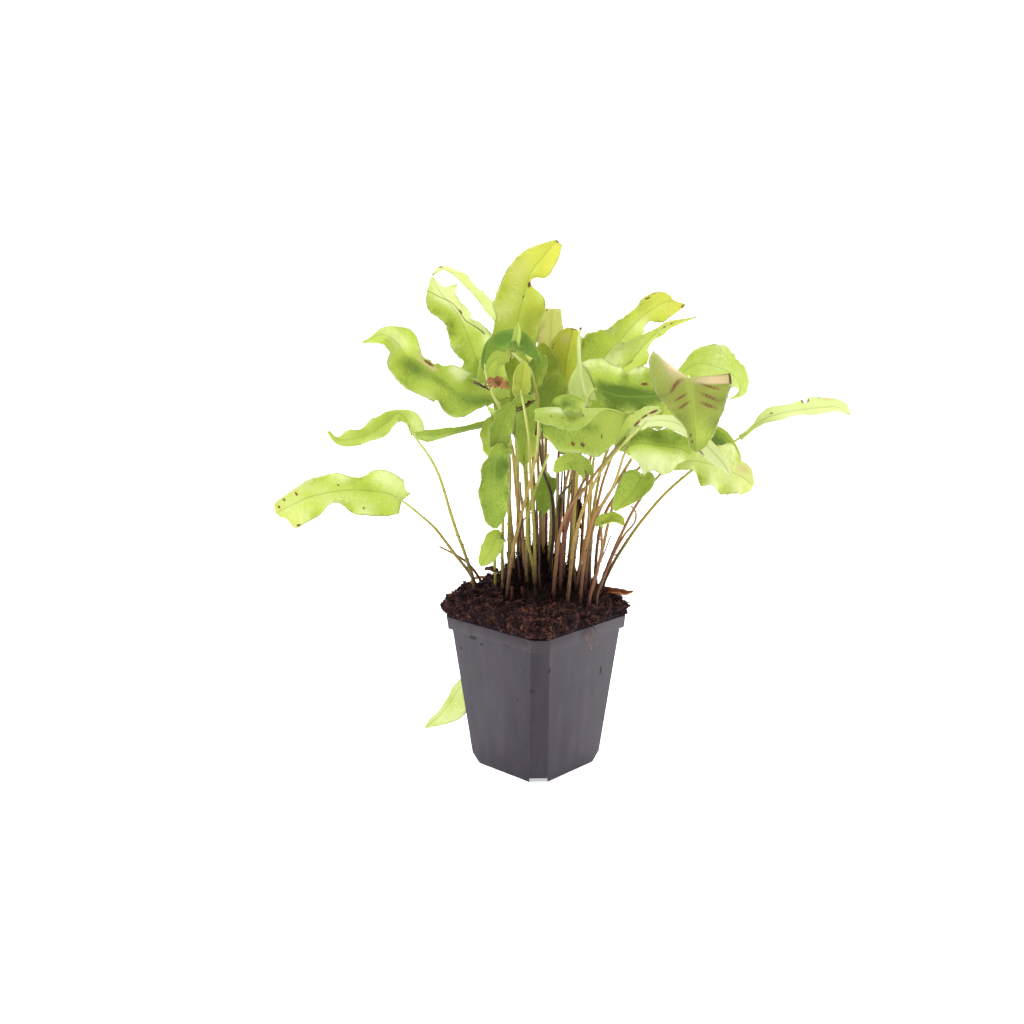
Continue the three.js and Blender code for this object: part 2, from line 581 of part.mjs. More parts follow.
// Half width as a share of the full one: a broad heart-shaped base, a strap, a drawn-out tip.
function outline(t, { base = blade.base, tip = blade.tip, peak = blade.peak }) {
  if (t < peak) return base + (1 - base) * Math.sin(quarter * (t / peak));
  const u = (t - peak) / (1 - peak);
  return tip + (1 - tip) * Math.cos(quarter * u ** blade.taper) ** blade.fullness;
}

function makeBlade(frond) {
  const { stalk: foot, rib, face, width, fold, curl, wave, waves, phase } = frond;
  const { columns = blade.columns } = frond;
  const path = [...foot, ...rib];
  const { length } = evenPoints(path, foot.length, path.length - 1, 1);
  const rows = Math.max(5, Math.round(length / blade.rowStep));
  const { points: centres } = evenPoints(path, foot.length, path.length - 1, rows);
  const upper = [];
  const lower = [];
  centres.forEach((centre, i) => {
    const t = i / rows;
    const along = tangentAt(centres, i);
    const up = faceAt(face, t);
    up.addScaledVector(along, -up.dot(along)).normalize();
    const across = along.clone().cross(up);
    for (let j = 0; j <= columns; j += 1) {
      const s = (2 * j) / columns - 1;
      const u = Math.abs(s);
      const roll = s > 0 ? curl[0] : curl[1];
      const lean = fold + roll * u;
      const reach = (Math.sin(lean) - Math.sin(fold)) / roll;
      const lift = (Math.cos(fold) - Math.cos(lean)) / roll;
      const beat = 2 * Math.PI * (waves * t + phase + (s > 0 ? blade.sideShift : 0));
      const scallop = 1 + blade.scallop * Math.sin(blade.scallopRate * beat);
      const half = (width / 2) * outline(t, frond) * scallop;
      const ripple = wave * u * u * Math.sin(beat) * Math.sin(Math.PI * t) ** 0.6;
      const lobe = blade.lobe * width * u * Math.max(0, 1 - t / blade.lobeEnd);
      const point = centre.clone()
        .addScaledVector(across, Math.sign(s) * half * reach)
        .addScaledVector(up, half * lift + ripple)
        .addScaledVector(along, -lobe);
      const out = up.clone().multiplyScalar(Math.cos(lean))
        .addScaledVector(across, -Math.sign(s) * Math.sin(lean));
      const under = blade.thickness / 2 + (s === 0 ? blade.ribDepth : 0);
      upper.push(point.clone().addScaledVector(out, blade.thickness / 2));
      lower.push(point.clone().addScaledVector(out, -under));
    }
  });
  return slab(upper, lower, columns + 1);
}

// A thin closed sheet between two grids, both split into triangles alike.
function slab(upper, lower, across) {
  const rows = upper.length / across;
  const under = upper.length;
  const triangles = [];
  const edge = [];
  for (let i = 0; i < rows - 1; i += 1) {
    for (let j = 0; j < across - 1; j += 1) {
      const a = i * across + j;
      const [b, c, d] = [a + 1, a + across, a + across + 1];
      triangles.push([a, b, d], [a, d, c]);
      triangles.push([under + a, under + d, under + b], [under + a, under + c, under + d]);
    }
  }
  for (let j = 0; j < across - 1; j += 1) edge.push([j + 1, j]);
  for (let i = 0; i < rows - 1; i += 1) edge.push([i * across, (i + 1) * across]);
  for (let j = 0; j < across - 1; j += 1) {
    edge.push([(rows - 1) * across + j, (rows - 1) * across + j + 1]);
  }
  for (let i = rows - 1; i > 0; i -= 1) edge.push([i * across + across - 1, i * across - 1]);
  edge.forEach(([a, b]) => {
    triangles.push([a, b, under + b], [a, under + b, under + a]);
  });
  return toSolid([...upper, ...lower], triangles);
}

function makeFrond(frond) {
  const tube = makeTube(stalkPoints(frond), stalkRadius, stalk.sides);
  return frond.rib ? largest(tube.add(makeBlade(frond))) : tube;
}

// ---------------------------------------------------------------- materials and assembly
const plastic = new THREE.MeshStandardMaterial({ color: 0x5b585e, roughness: 0.45 });
const peat = new THREE.MeshStandardMaterial({ color: 0x2e1a14, roughness: 0.95 });
const hair = new THREE.MeshStandardMaterial({ color: 0x22140f, roughness: 0.95 });
const leaf = new THREE.MeshStandardMaterial({ color: 0xa9cc3f, roughness: 0.5 });
const bark = new THREE.MeshStandardMaterial({ color: 0x8a5a35, roughness: 0.6 });

const plant = new THREE.Group();
plant.rotation.z = THREE.MathUtils.degToRad(plantTurn);

const holes = Object.values(fronds).map(stalkHole);
const crownSolid = largest(crownShape(0).subtract(wasm.Manifold.union(holes)));
plant.add(toMesh('soil', makeSoil([crownShape(gap), ...holes]), peat));
plant.add(toMesh('crown', crownSolid, hair));
Object.entries(fronds).forEach(([name, frond]) => {
  plant.add(toMesh(name, makeFrond(frond), frond.rib ? leaf : bark));
});

const group = new THREE.Group();
group.add(toMesh('pot', makePot(), plastic), plant);

export default group;
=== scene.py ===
# Potted fern: waved, undivided fronds on long thin stalks, growing from peat in a square pot.
import math
import random

import bpy
import numpy as np
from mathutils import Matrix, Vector


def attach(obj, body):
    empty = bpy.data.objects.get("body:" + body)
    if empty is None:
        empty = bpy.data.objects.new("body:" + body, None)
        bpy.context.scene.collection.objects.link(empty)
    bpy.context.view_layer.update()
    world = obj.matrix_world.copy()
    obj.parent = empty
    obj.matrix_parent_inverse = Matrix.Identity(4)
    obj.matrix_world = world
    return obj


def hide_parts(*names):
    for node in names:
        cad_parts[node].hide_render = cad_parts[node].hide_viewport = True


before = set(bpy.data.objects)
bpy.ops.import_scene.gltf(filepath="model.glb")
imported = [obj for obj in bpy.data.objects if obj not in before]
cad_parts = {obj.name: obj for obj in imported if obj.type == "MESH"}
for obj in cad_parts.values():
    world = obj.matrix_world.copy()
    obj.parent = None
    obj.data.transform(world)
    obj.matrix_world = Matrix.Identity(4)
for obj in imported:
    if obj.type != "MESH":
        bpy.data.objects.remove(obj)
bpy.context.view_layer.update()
mm = 0.001
print("frame loaded,", len(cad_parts), "nodes")


def pickSocket(sockets, key):
    shown = [s for s in sockets if s.enabled]
    return shown[key] if isinstance(key, int) else next(s for s in shown if s.name == key)


class Wire:
    # one output of a node, which can stand in a sum like a number
    def __init__(self, graph, socket):
        self.graph = graph
        self.socket = socket

    def maths(self, operation, *others):
        return self.graph.add("ShaderNodeMath", {"operation": operation}, [self, *others])

    def out(self, name):
        return Wire(self.graph, pickSocket(self.socket.node.outputs, name))

    def __add__(self, other):
        return self.maths("ADD", other)

    def __sub__(self, other):
        return self.maths("SUBTRACT", other)

    def __rsub__(self, other):
        return self.graph.add("ShaderNodeMath", {"operation": "SUBTRACT"}, [other, self])

    def __mul__(self, other):
        return self.maths("MULTIPLY", other)

    def __truediv__(self, other):
        return self.maths("DIVIDE", other)

    def __rtruediv__(self, other):
        return self.graph.add("ShaderNodeMath", {"operation": "DIVIDE"}, [other, self])

    def __pow__(self, other):
        return self.maths("POWER", other)

    def __gt__(self, other):
        return self.maths("GREATER_THAN", other)

    def __lt__(self, other):
        return self.maths("LESS_THAN", other)

    def __neg__(self):
        return self.maths("MULTIPLY", -1)

    def __abs__(self):
        return self.maths("ABSOLUTE")

    __radd__ = __add__
    __rmul__ = __mul__


class Graph:
    # a node tree being built
    def __init__(self, tree):
        self.tree = tree

    # one node: its settings first, then the values or links of its sockets
    def add(self, kind, settings=None, values=None, output=0):
        node = self.tree.nodes.new(kind)
        for key, value in (settings or {}).items():
            if key == "stops":
                ramp = node.color_ramp
                for _ in value[2:]:
                    ramp.elements.new(0.5)
                for element, (place, colour) in zip(ramp.elements, value):
                    element.position, element.color = place, colour
            else:
                setattr(node, key, value)
        for key, value in values.items() if isinstance(values, dict) else enumerate(values or []):
            socket = pickSocket(node.inputs, key)
            for one in value if isinstance(value, list) else [value]:
                if isinstance(one, Wire):
                    self.tree.links.new(one.socket, socket)
                else:
                    socket.default_value = one
        return Wire(self, pickSocket(node.outputs, output)) if node.outputs else None

    def vector(self, operation, *values):
        return self.add("ShaderNodeVectorMath", {"operation": operation}, values)

    def xyz(self, x, y, z):
        return self.add("ShaderNodeCombineXYZ", None, [x, y, z])

    def parts(self, vector):
        first = self.add("ShaderNodeSeparateXYZ", None, [vector])
        return first, first.out("Y"), first.out("Z")

    def step(self, value, low, high):
        ramp = {"interpolation_type": "SMOOTHSTEP"}
        return self.add("ShaderNodeMapRange", ramp, {"Value": value, "From Min": low, "From Max": high})

    def blend(self, factor, a, b):
        return self.add("ShaderNodeMix", {"data_type": "RGBA"}, [factor, a, b])

    def noise(self, place, scale, detail=2, roughness=0.5):
        values = {"Vector": place, "Scale": scale, "Detail": detail, "Roughness": roughness}
        return self.add("ShaderNodeTexNoise", None, values)

    def cells(self, place, scale, output="Distance"):
        return self.add("ShaderNodeTexVoronoi", None, {"Vector": place, "Scale": scale}, output)


def newTree(name, inputs):
    tree = bpy.data.node_groups.new(name, "GeometryNodeTree")
    tree.interface.new_socket("Geometry", in_out="OUTPUT", socket_type="NodeSocketGeometry")
    for label, kind in inputs.items():
        tree.interface.new_socket(label, in_out="INPUT", socket_type="NodeSocket" + kind)
    start = tree.nodes.new("NodeGroupInput")
    graph = Graph(tree)
    return graph, {s.name: Wire(graph, s) for s in start.outputs if s.name}


def endTree(graph, shapes, material):
    joined = graph.add("GeometryNodeJoinGeometry", None, {"Geometry": shapes})
    real = graph.add("GeometryNodeRealizeInstances", None, [joined])
    done = graph.add("GeometryNodeSetMaterial", None, {"Geometry": real, "Material": material})
    graph.add("NodeGroupOutput", None, [done])
    return graph.tree


# the tree's result on a mesh, as a plain mesh object at the origin
def grow(name, tree, source, values):
    start = bpy.data.objects.new(name, source)
    bpy.context.scene.collection.objects.link(start)
    modifier = start.modifiers.new("grow", "NODES")
    modifier.node_group = tree
    for item in tree.interface.items_tree:
        if item.in_out == "INPUT" and item.name in values:
            modifier[item.identifier] = values[item.name]
    graph = bpy.context.evaluated_depsgraph_get()
    mesh = bpy.data.meshes.new_from_object(start.evaluated_get(graph), depsgraph=graph)
    start.modifiers.remove(modifier)
    start.data = mesh
    mesh.name = name
    return start


def lineMesh(name, chains, fields):
    # chains: lists of points, each joined in a row; fields: numbers or vectors kept on the points
    points = np.concatenate(chains)
    edges, first = [], 0
    for chain in chains:
        edges += [(first + i, first + i + 1) for i in range(len(chain) - 1)]
        first += len(chain)
    mesh = bpy.data.meshes.new(name)
    mesh.from_pydata(points.tolist(), edges, [])
    for key, values in fields.items():
        values = np.array(values, np.float32)
        flat = values.ndim == 1
        layer = mesh.attributes.new(key, "FLOAT" if flat else "FLOAT_VECTOR", "POINT")
        layer.data.foreach_set("value" if flat else "vector", values.ravel())
    return mesh


def readField(mesh, key):
    layer = mesh.attributes[key]
    values = np.zeros(len(layer.data) * 3, np.float32)
    layer.data.foreach_get("vector", values)
    return values.reshape(-1, 3)


def keepField(mesh, key, values):
    layer = mesh.attributes.new(key, "FLOAT_VECTOR", "POINT")
    layer.data.foreach_set("vector", values.astype(np.float32).ravel())


def newMaterial(name):
    material = bpy.data.materials.new(name)
    material.use_nodes = True
    material.node_tree.nodes.clear()
    return material, Graph(material.node_tree)


def endMaterial(graph, shader):
    graph.add("ShaderNodeOutputMaterial", None, {"Surface": shader})


def fieldOf(graph, key, output="Vector"):
    return graph.add("ShaderNodeAttribute", {"attribute_name": key}, None, output)


def objectPlace(graph):
    return graph.add("ShaderNodeTexCoord", None, None, "Object")


studio = {
    "place": (0.5243, -0.5802, 0.3297),  # where the camera stands, metres
    "heading": 43.24,  # degrees to the left of +Y
    "tilt": 11.8,  # degrees down
    "lens": 43.95,
    "sky": 1.36,  # light from all round
    "dimFront": 0.72,  # how much darker the room is behind the camera
    "floorGlow": 0.55,
    "floorHalf": 9,  # metres
    "floorGap": 0.0003,  # how far the floor lies under the pot
    "aim": 0.18,  # the height that the lamps look at
    # name: side, depth, height in metres from the pot, size in metres, watts
    "lamps": {
        "keyBox": (-0.9, -0.6, 1.4, 0.7, 26),
        "sideBox": (1.35, 0.1, 0.8, 0.9, 22),
        "backBox": (0.1, 1.3, 1.2, 1.2, 18),
    },
}


def makeStudio(s):
    turn = math.radians(s["heading"])
    right = Vector((math.cos(turn), math.sin(turn), 0))
    ahead = Vector((-math.sin(turn), math.cos(turn), 0))
    lens = bpy.data.cameras.new("camera")
    lens.lens, lens.sensor_width = s["lens"], 36
    lens.clip_start = 0.01
    camera = bpy.data.objects.new("camera", lens)
    camera.location = s["place"]
    camera.rotation_euler = (math.radians(90 - s["tilt"]), 0, turn)
    bpy.context.scene.collection.objects.link(camera)
    bpy.context.scene.camera = camera
    bpy.context.scene.view_settings.view_transform = "Standard"
    for name, (side, depth, height, size, watts) in s["lamps"].items():
        lamp = bpy.data.lights.new(name, "AREA")
        lamp.size, lamp.energy = size, watts
        box = bpy.data.objects.new(name, lamp)
        box.location = right * side + ahead * depth + Vector((0, 0, height))
        box.rotation_euler = (Vector((0, 0, s["aim"])) - box.location).to_track_quat("-Z", "Y").to_euler()
        bpy.context.scene.collection.objects.link(box)
    world = bpy.data.worlds.new("studio")
    world.use_nodes = True
    world.node_tree.nodes.clear()
    g = Graph(world.node_tree)
    look = g.add("ShaderNodeTexCoord", None, None, "Generated")
    toward = Vector(s["place"]).normalized()
    facing = g.vector("DOT_PRODUCT", look, toward)
    strength = s["sky"] * (1 - s["dimFront"] * g.step(facing, -0.05, 0.9))
    sky = g.add("ShaderNodeBackground", None, {"Color": (1, 1, 1, 1), "Strength": strength})
    g.add("ShaderNodeOutputWorld", None, {"Surface": sky})
    bpy.context.scene.world = world
    ground = bpy.data.meshes.new("floor")
    corners = [(x * s["floorHalf"], y * s["floorHalf"], -s["floorGap"])
               for x, y in ((-1, -1), (1, -1), (1, 1), (-1, 1))]
    ground.from_pydata(corners, [], [(0, 1, 2, 3)])
    floor = bpy.data.objects.new("floor", ground)
    bpy.context.scene.collection.objects.link(floor)
    material, g = newMaterial("paleFloor")
    speck = g.noise(objectPlace(g), 40, 3)
    tone = g.blend(speck, (0.9, 0.9, 0.9, 1), (0.93, 0.93, 0.93, 1))
    shader = g.add("ShaderNodeBsdfPrincipled", None, {
        "Base Color": tone, "Roughness": 0.8, "Emission Color": (1, 1, 1, 1),
        "Emission Strength": s["floorGlow"]})
    endMaterial(g, shader)
    ground.materials.append(material)


makeStudio(studio)
print("camera and studio ready")


leafFinish = {
    "deep": (0.088, 0.155, 0.011, 1),
    "cool": (0.070, 0.175, 0.012, 1),
    "middle": (0.228, 0.325, 0.042, 1),
    "fresh": (0.455, 0.565, 0.100, 1),
    "pale": (0.84, 0.88, 0.50, 1),
    "yellow": (0.80, 0.68, 0.09, 1),
    "tan": (0.74, 0.54, 0.34, 1),
    "brown": (0.15, 0.062, 0.026, 1),
    "underside": (0.58, 0.69, 0.27, 1),
    "rib": (0.70, 0.76, 0.36, 1),
    "ribTop": (0.24, 0.34, 0.05, 1),
    "glow": (0.60, 0.68, 0.18, 1),  # light that comes through the blade
    "through": 0.46,  # share of the light that does
    "veinPitch": 1.5,  # millimetres between side veins
    "veinSlant": 0.55,
    "dashPitch": 3.0,
}


def makeLeaf(name, finish, glow):
    material, g = newMaterial(name)
    spot = fieldOf(g, "leafSpot")  # millimetres across and along the blade, and a number of its own
    x, y, _ = g.parts(spot)
    yellow, tan, shade = g.parts(fieldOf(g, "leafTint"))
    rim = g.step(abs(g.parts(fieldOf(g, "leafShare"))[1]), 0.9, 1.0)
    brown, dashes, under = g.parts(fieldOf(g, "leafMarks"))
    side = abs(x)
    cloud = g.noise(spot, 0.075, 3)
    patch = g.noise(spot, 0.3, 3, 0.6)
    grain = g.noise(spot, 0.9, 3, 0.6)
    slant = y - finish["veinSlant"] * side
    wander = 1.2 * (g.noise(spot, 0.25, 1) - 0.5)
    vein = abs((slant / finish["veinPitch"] + wander).maths("FRACT") - 0.5) * 2
    ridge = g.step(vein, 0.6, 1) * g.step(side, 0.2, 1.2)
    rib = 1 - g.step(side, 0.2, 0.8)
    # dark is the shade field with mottling, so the ramp from pale through fresh and middle to deep carries
    # the painted shade and painted light of paintBlade along with the leaf's own tone
    dark = shade + 1.2 * (cloud - 0.5) + 0.28 * (patch - 0.5) + 0.03 * (0.5 - ridge)
    colour = g.blend(g.step(dark, -0.75, 0.1), finish["pale"], finish["fresh"])
    colour = g.blend(g.step(dark, 0.0, 0.55), colour, finish["middle"])
    colour = g.blend(g.step(dark, 0.45, 1.1), colour, finish["deep"])
    colour = g.blend(yellow * g.step(cloud + yellow * 0.5, 0.3, 0.8), colour, finish["yellow"])
    colour = g.blend(0.5 * under * (1 - 0.85 * g.step(dark, 0.1, 0.9)), colour, finish["underside"])
    colour = g.blend(g.step(-1 * tan, 0.0, 1.0), colour, finish["cool"])
    colour = g.blend(0.06 * ridge, colour, finish["rib"])
    colour = g.blend(0.4 * rim * (1 - 0.5 * g.step(dark, 0.5, 1)), colour, finish["pale"])
    colour = g.blend(0.45 * rib * (1 - under), colour, finish["ribTop"])
    colour = g.blend(0.7 * rib * under, colour, finish["rib"])
    faded = 0.85 * g.step(tan + 0.5 * (patch - 0.5) * (tan > 0.02), 0.1, 1.1)
    colour = g.blend(faded, colour, finish["tan"])
    dash = abs((slant / finish["dashPitch"] + wander).maths("FRACT") - 0.5)
    dash = (1 - g.step(dash, 0.06, 0.17)) * g.step(dashes + 2.2 * (patch - 0.5), 0.4, 0.6) * (dashes > 0.1)
    stain = g.step(brown + 0.6 * (grain - 0.5) * (brown > 0.02), 0.35, 0.55)
    dry = (0.7 * dash).maths("MAXIMUM", stain)
    colour = g.blend(dry, colour, finish["brown"])
    height = 0.25 * ridge * (1 - 2 * (under < 0.5)) + 0.2 * grain + 1.5 * patch
    bump = g.add("ShaderNodeBump", None, {"Strength": 0.5, "Distance": 0.0005, "Height": height})
    face = g.add("ShaderNodeBsdfPrincipled", None, {
        "Base Color": colour, "Roughness": 0.4 + 0.15 * under + 0.15 * grain, "Normal": bump,
        "Specular IOR Level": 0.17})
    through = g.add("ShaderNodeBsdfTranslucent", None, {"Color": glow})
    amount = finish["through"] * (1 - 0.9 * dry) * (1 - 0.5 * rib) * (1 - 0.75 * g.step(dark, 0.0, 1.0))
    endMaterial(g, g.add("ShaderNodeMixShader", None, [amount, face, through]))
    return material


leafGreen = makeLeaf("leafGreen", leafFinish, leafFinish["glow"])

stalkFinish = {
    "foot": (0.048, 0.015, 0.010, 1),
    "olive": (0.29, 0.27, 0.048, 1),
    "straw": (0.29, 0.148, 0.048, 1),
    "rust": (0.135, 0.048, 0.026, 1),
    "head": (0.43, 0.48, 0.14, 1),
    "scale": (0.075, 0.030, 0.016, 1),
}


def makeStalk(name, finish):
    material, g = newMaterial(name)
    rise, rust, chaff = g.parts(fieldOf(g, "stalkTint"))
    place = objectPlace(g)
    blotch = g.noise(place, 260, 3, 0.6)
    streak = g.noise(g.vector("MULTIPLY", place, (1, 1, 0.12)), 1800, 2)
    climb = rise + 0.3 * (blotch - 0.5)
    colour = g.blend(g.step(rust, 0.05, 0.45), finish["olive"], finish["straw"])
    colour = g.blend(g.step(rust + 0.3 * (blotch - 0.5), 0.5, 0.95), colour, finish["rust"])
    colour = g.blend(g.step(climb, 0.04, 0.5), finish["foot"], colour)
    colour = g.blend(g.step(climb, 0.5, 1.05) * (1 - 0.85 * g.step(rust, 0.3, 0.9)), colour, finish["head"])
    colour = g.blend(0.45 * g.step(streak, 0.5, 0.8), colour, finish["foot"])
    colour = g.blend(chaff, colour, finish["scale"])
    bump = g.add("ShaderNodeBump", None, {"Strength": 0.5, "Distance": 0.0003, "Height": streak + blotch})
    endMaterial(g, g.add("ShaderNodeBsdfPrincipled", None, {
        "Base Color": colour, "Roughness": 0.5 + 0.2 * blotch, "Specular IOR Level": 0.22, "Normal": bump}))
    return material


stalkSkin = makeStalk("stalkSkin", stalkFinish)
print("leaf and stalk finishes ready")


# A round stalk along a line, thinner towards its head, with small scales low down.
def makeStalkTree():
    g, i = newTree("stalkTube", {
        "Line": "Geometry", "Foot Radius": "Float", "Head Radius": "Float", "Sides": "Int",
        "Scales": "Float", "Rust": "Float", "Seed": "Int", "Material": "Material"})
    curve = g.add("GeometryNodeMeshToCurve", None, [i["Line"]])
    rise = g.add("GeometryNodeSplineParameter")
    tint = {"data_type": "FLOAT_VECTOR", "domain": "POINT"}
    curve = g.add("GeometryNodeStoreNamedAttribute", tint, {
        "Geometry": curve, "Name": "stalkTint", "Value": g.xyz(rise, i["Rust"], 0)})
    place = g.add("GeometryNodeInputPosition")
    knobs = 1 + 0.5 * (g.noise(place, 300, 2) - 0.5)
    radius = (i["Foot Radius"] + (i["Head Radius"] - i["Foot Radius"]) * rise) * knobs
    ring = g.add("GeometryNodeCurvePrimitiveCircle", None, {"Resolution": i["Sides"], "Radius": 1})
    tube = g.add("GeometryNodeCurveToMesh", None, {
        "Curve": curve, "Profile Curve": ring, "Scale": radius, "Fill Caps": True})
    height = g.add("GeometryNodeInputNamedAttribute", {"data_type": "FLOAT_VECTOR"}, ["stalkTint"])
    low = (1 - g.parts(height)[0]) ** 2
    spots = g.add("GeometryNodeDistributePointsOnFaces", None, {
        "Mesh": tube, "Density": i["Scales"] * low, "Seed": i["Seed"]})
    lean = g.vector("ADD", g.vector("MULTIPLY", spots.out("Normal"), (0.7, 0.7, 0.7)), (0, 0, 0.8))
    turn = g.add("FunctionNodeAlignRotationToVector", {"axis": "Z"}, {"Vector": lean})
    length = g.add("FunctionNodeRandomValue", None, {"Min": 0.4, "Max": 1.3, "Seed": i["Seed"]})
    chaff = g.add("GeometryNodeMeshCone", None, {
        "Vertices": 3, "Radius Bottom": 0.35 * mm, "Depth": 2.2 * mm})
    scales = g.add("GeometryNodeInstanceOnPoints", None, {
        "Points": spots, "Instance": chaff, "Rotation": turn, "Scale": length})
    scales = g.add("GeometryNodeStoreNamedAttribute", {**tint, "domain": "INSTANCE"}, {
        "Geometry": scales, "Name": "stalkTint", "Value": (0, 0, 1)})
    return endTree(g, [tube, scales], i["Material"])


# A whole frond: its stalk, then the blade swept along the rest of the line.
# Right and left are the halves of the blade as seen from its base, with its face up.
def makeFrondTree(stalkTree):
    g, i = newTree("fernFrond", {
        "Line": "Geometry", "Stalk Points": "Int", "Rows": "Int", "Columns": "Int",
        "Length": "Float", "Curl Right": "Float", "Curl Left": "Float", "Wave": "Float",
        "Waves": "Float", "Phase": "Float", "Ragged": "Float", "Frill": "Float",
        "Lobe Right": "Float", "Lobe Left": "Float",
        "Thickness": "Float", "Rib Depth": "Float",
        "Stalk Foot": "Float", "Stalk Head": "Float", "Scales": "Float", "Rust": "Float",
        "Seed": "Int", "Blade Material": "Material", "Stalk Material": "Material"})
    count = g.add("GeometryNodeInputIndex")
    low = g.add("GeometryNodeSeparateGeometry", None, [i["Line"], count < i["Stalk Points"]])
    stalk = g.add("GeometryNodeGroup", {"node_tree": stalkTree}, {
        "Line": low, "Foot Radius": i["Stalk Foot"], "Head Radius": i["Stalk Head"], "Sides": 7,
        "Scales": i["Scales"], "Rust": i["Rust"], "Seed": i["Seed"], "Material": i["Stalk Material"]})

    grid = g.add("GeometryNodeMeshGrid", None, {
        "Size X": 1, "Size Y": 1, "Vertices X": i["Rows"] + 1, "Vertices Y": i["Columns"] + 1})
    row = (count / (i["Columns"] + 1)).maths("FLOOR")
    column = count - row * (i["Columns"] + 1)
    t = row / i["Rows"]
    even = 2 * column / i["Columns"] - 1
    sign = even.maths("SIGN")
    u = abs(even) ** 1.3  # columns stand closer beside the midrib
    right = even > 0

    def sampled(value, kind="FLOAT_VECTOR"):
        return g.add("GeometryNodeSampleIndex", {"data_type": kind}, {
            "Geometry": i["Line"], "Value": value, "Index": row + i["Stalk Points"]})

    def named(key, kind="FLOAT_VECTOR"):
        return g.add("GeometryNodeInputNamedAttribute", {"data_type": kind}, [key])

    centre = sampled(g.add("GeometryNodeInputPosition"))
    along = sampled(named("along"))
    up = sampled(named("facing"))
    edgeRight, edgeLeft, _ = g.parts(sampled(named("edge")))
    foldRight, foldLeft, _ = g.parts(sampled(named("fold")))
    across = g.vector("CROSS_PRODUCT", along, up)

    def sided(onRight, onLeft):
        return onLeft + (onRight - onLeft) * right

    roll = sided(i["Curl Right"], i["Curl Left"])
    fold = sided(foldRight, foldLeft)
    lean = fold + roll * u
    reach = (lean.maths("SINE") - fold.maths("SINE")) / roll
    lift = (fold.maths("COSINE") - lean.maths("COSINE")) / roll
    beat = 2 * math.pi * (i["Waves"] * t + i["Phase"] + bladeRule["sideShift"] * right)
    seed = g.add("FunctionNodeRandomValue", None, {"Max": 90.0, "ID": 7, "Seed": i["Seed"]})
    edge = g.noise(g.xyz(t * i["Length"] / (6 * mm), sign * 3, seed), 1, 4, 0.65)
    half = sided(edgeRight, edgeLeft) * (1 + i["Ragged"] * (edge - 0.5))
    span = (t * math.pi).maths("SINE").maths("MAXIMUM", 0) ** 0.5
    room = (half / (9 * mm)).maths("MINIMUM", 1)  # narrow parts wave less
    buckle = g.noise(g.xyz(t * i["Length"] / (13 * mm), even * 1.6, seed + 5), 1, 2) - 0.5
    crimp = g.noise(g.xyz(t * i["Length"] / (5 * mm), even * 1.5, seed + 9), 1, 1) - 0.5
    frill = i["Frill"] * (buckle * (0.25 + 0.75 * u) + 0.7 * crimp * u ** 3)
    ripple = i["Wave"] * beat.maths("SINE") * u * u + frill
    ripple = ripple * span * room
    lobe = 2 * sided(i["Lobe Right"], i["Lobe Left"]) * half * u
    lobe = lobe * (1 - t / bladeRule["lobeEnd"]).maths("MAXIMUM", 0)

    def scaled(vector, factor):
        return g.vector("MULTIPLY", vector, g.xyz(factor, factor, factor))

    aside = sign * half * reach
    point = g.vector("ADD", centre, scaled(across, aside))
    point = g.vector("ADD", point, scaled(up, half * lift + ripple))
    point = g.vector("ADD", point, scaled(along, -lobe))
    out = g.vector("SUBTRACT", scaled(up, lean.maths("COSINE")), scaled(across, sign * lean.maths("SINE")))
    ends = (row / 2).maths("MINIMUM", (i["Rows"] - row) / 2).maths("MINIMUM", 1)
    body = i["Thickness"] / 2 * (1 - u ** 8) * ends
    ribHeight = g.step(abs(aside), 1.1 * mm, 0.2 * mm) * ends * (1 - 0.7 * t)
    upper = body - 0.25 * i["Rib Depth"] * ribHeight
    lower = body + i["Rib Depth"] * ribHeight

    spot = g.xyz(sign * half * u / mm, t * i["Length"] / mm, seed)
    vectorField = {"data_type": "FLOAT_VECTOR", "domain": "POINT"}
    sheets = []
    for offset, under in ((upper, 0), (-lower, 1)):
        sheet = g.add("GeometryNodeSetPosition", None, {
            "Geometry": grid, "Position": g.vector("ADD", point, scaled(out, offset))})
        sheet = g.add("GeometryNodeStoreNamedAttribute", vectorField, {
            "Geometry": sheet, "Name": "leafSpot", "Value": spot})
        sheet = g.add("GeometryNodeStoreNamedAttribute", vectorField, {
            "Geometry": sheet, "Name": "leafShare", "Value": g.xyz(t, sign * u, under)})
        sheet = g.add("GeometryNodeStoreNamedAttribute", vectorField, {
            "Geometry": sheet, "Name": "leafBend", "Value": g.xyz(ripple / mm, 0, 0)})
        if not under:
            sheet = g.add("GeometryNodeFlipFaces", None, [sheet])
        sheets.append(sheet)
    blade = g.add("GeometryNodeJoinGeometry", None, {"Geometry": sheets})
    blade = g.add("GeometryNodeMergeByDistance", None, {"Geometry": blade, "Distance": 0.004 * mm})
    blade = g.add("GeometryNodeSetMaterial", None, {"Geometry": blade, "Material": i["Blade Material"]})
    joined = g.add("GeometryNodeJoinGeometry", None, {"Geometry": [blade, stalk]})
    smooth = g.add("GeometryNodeSetShadeSmooth", None, [joined])
    real = g.add("GeometryNodeRealizeInstances", None, [smooth])
    g.add("NodeGroupOutput", None, [real])
    return g.tree


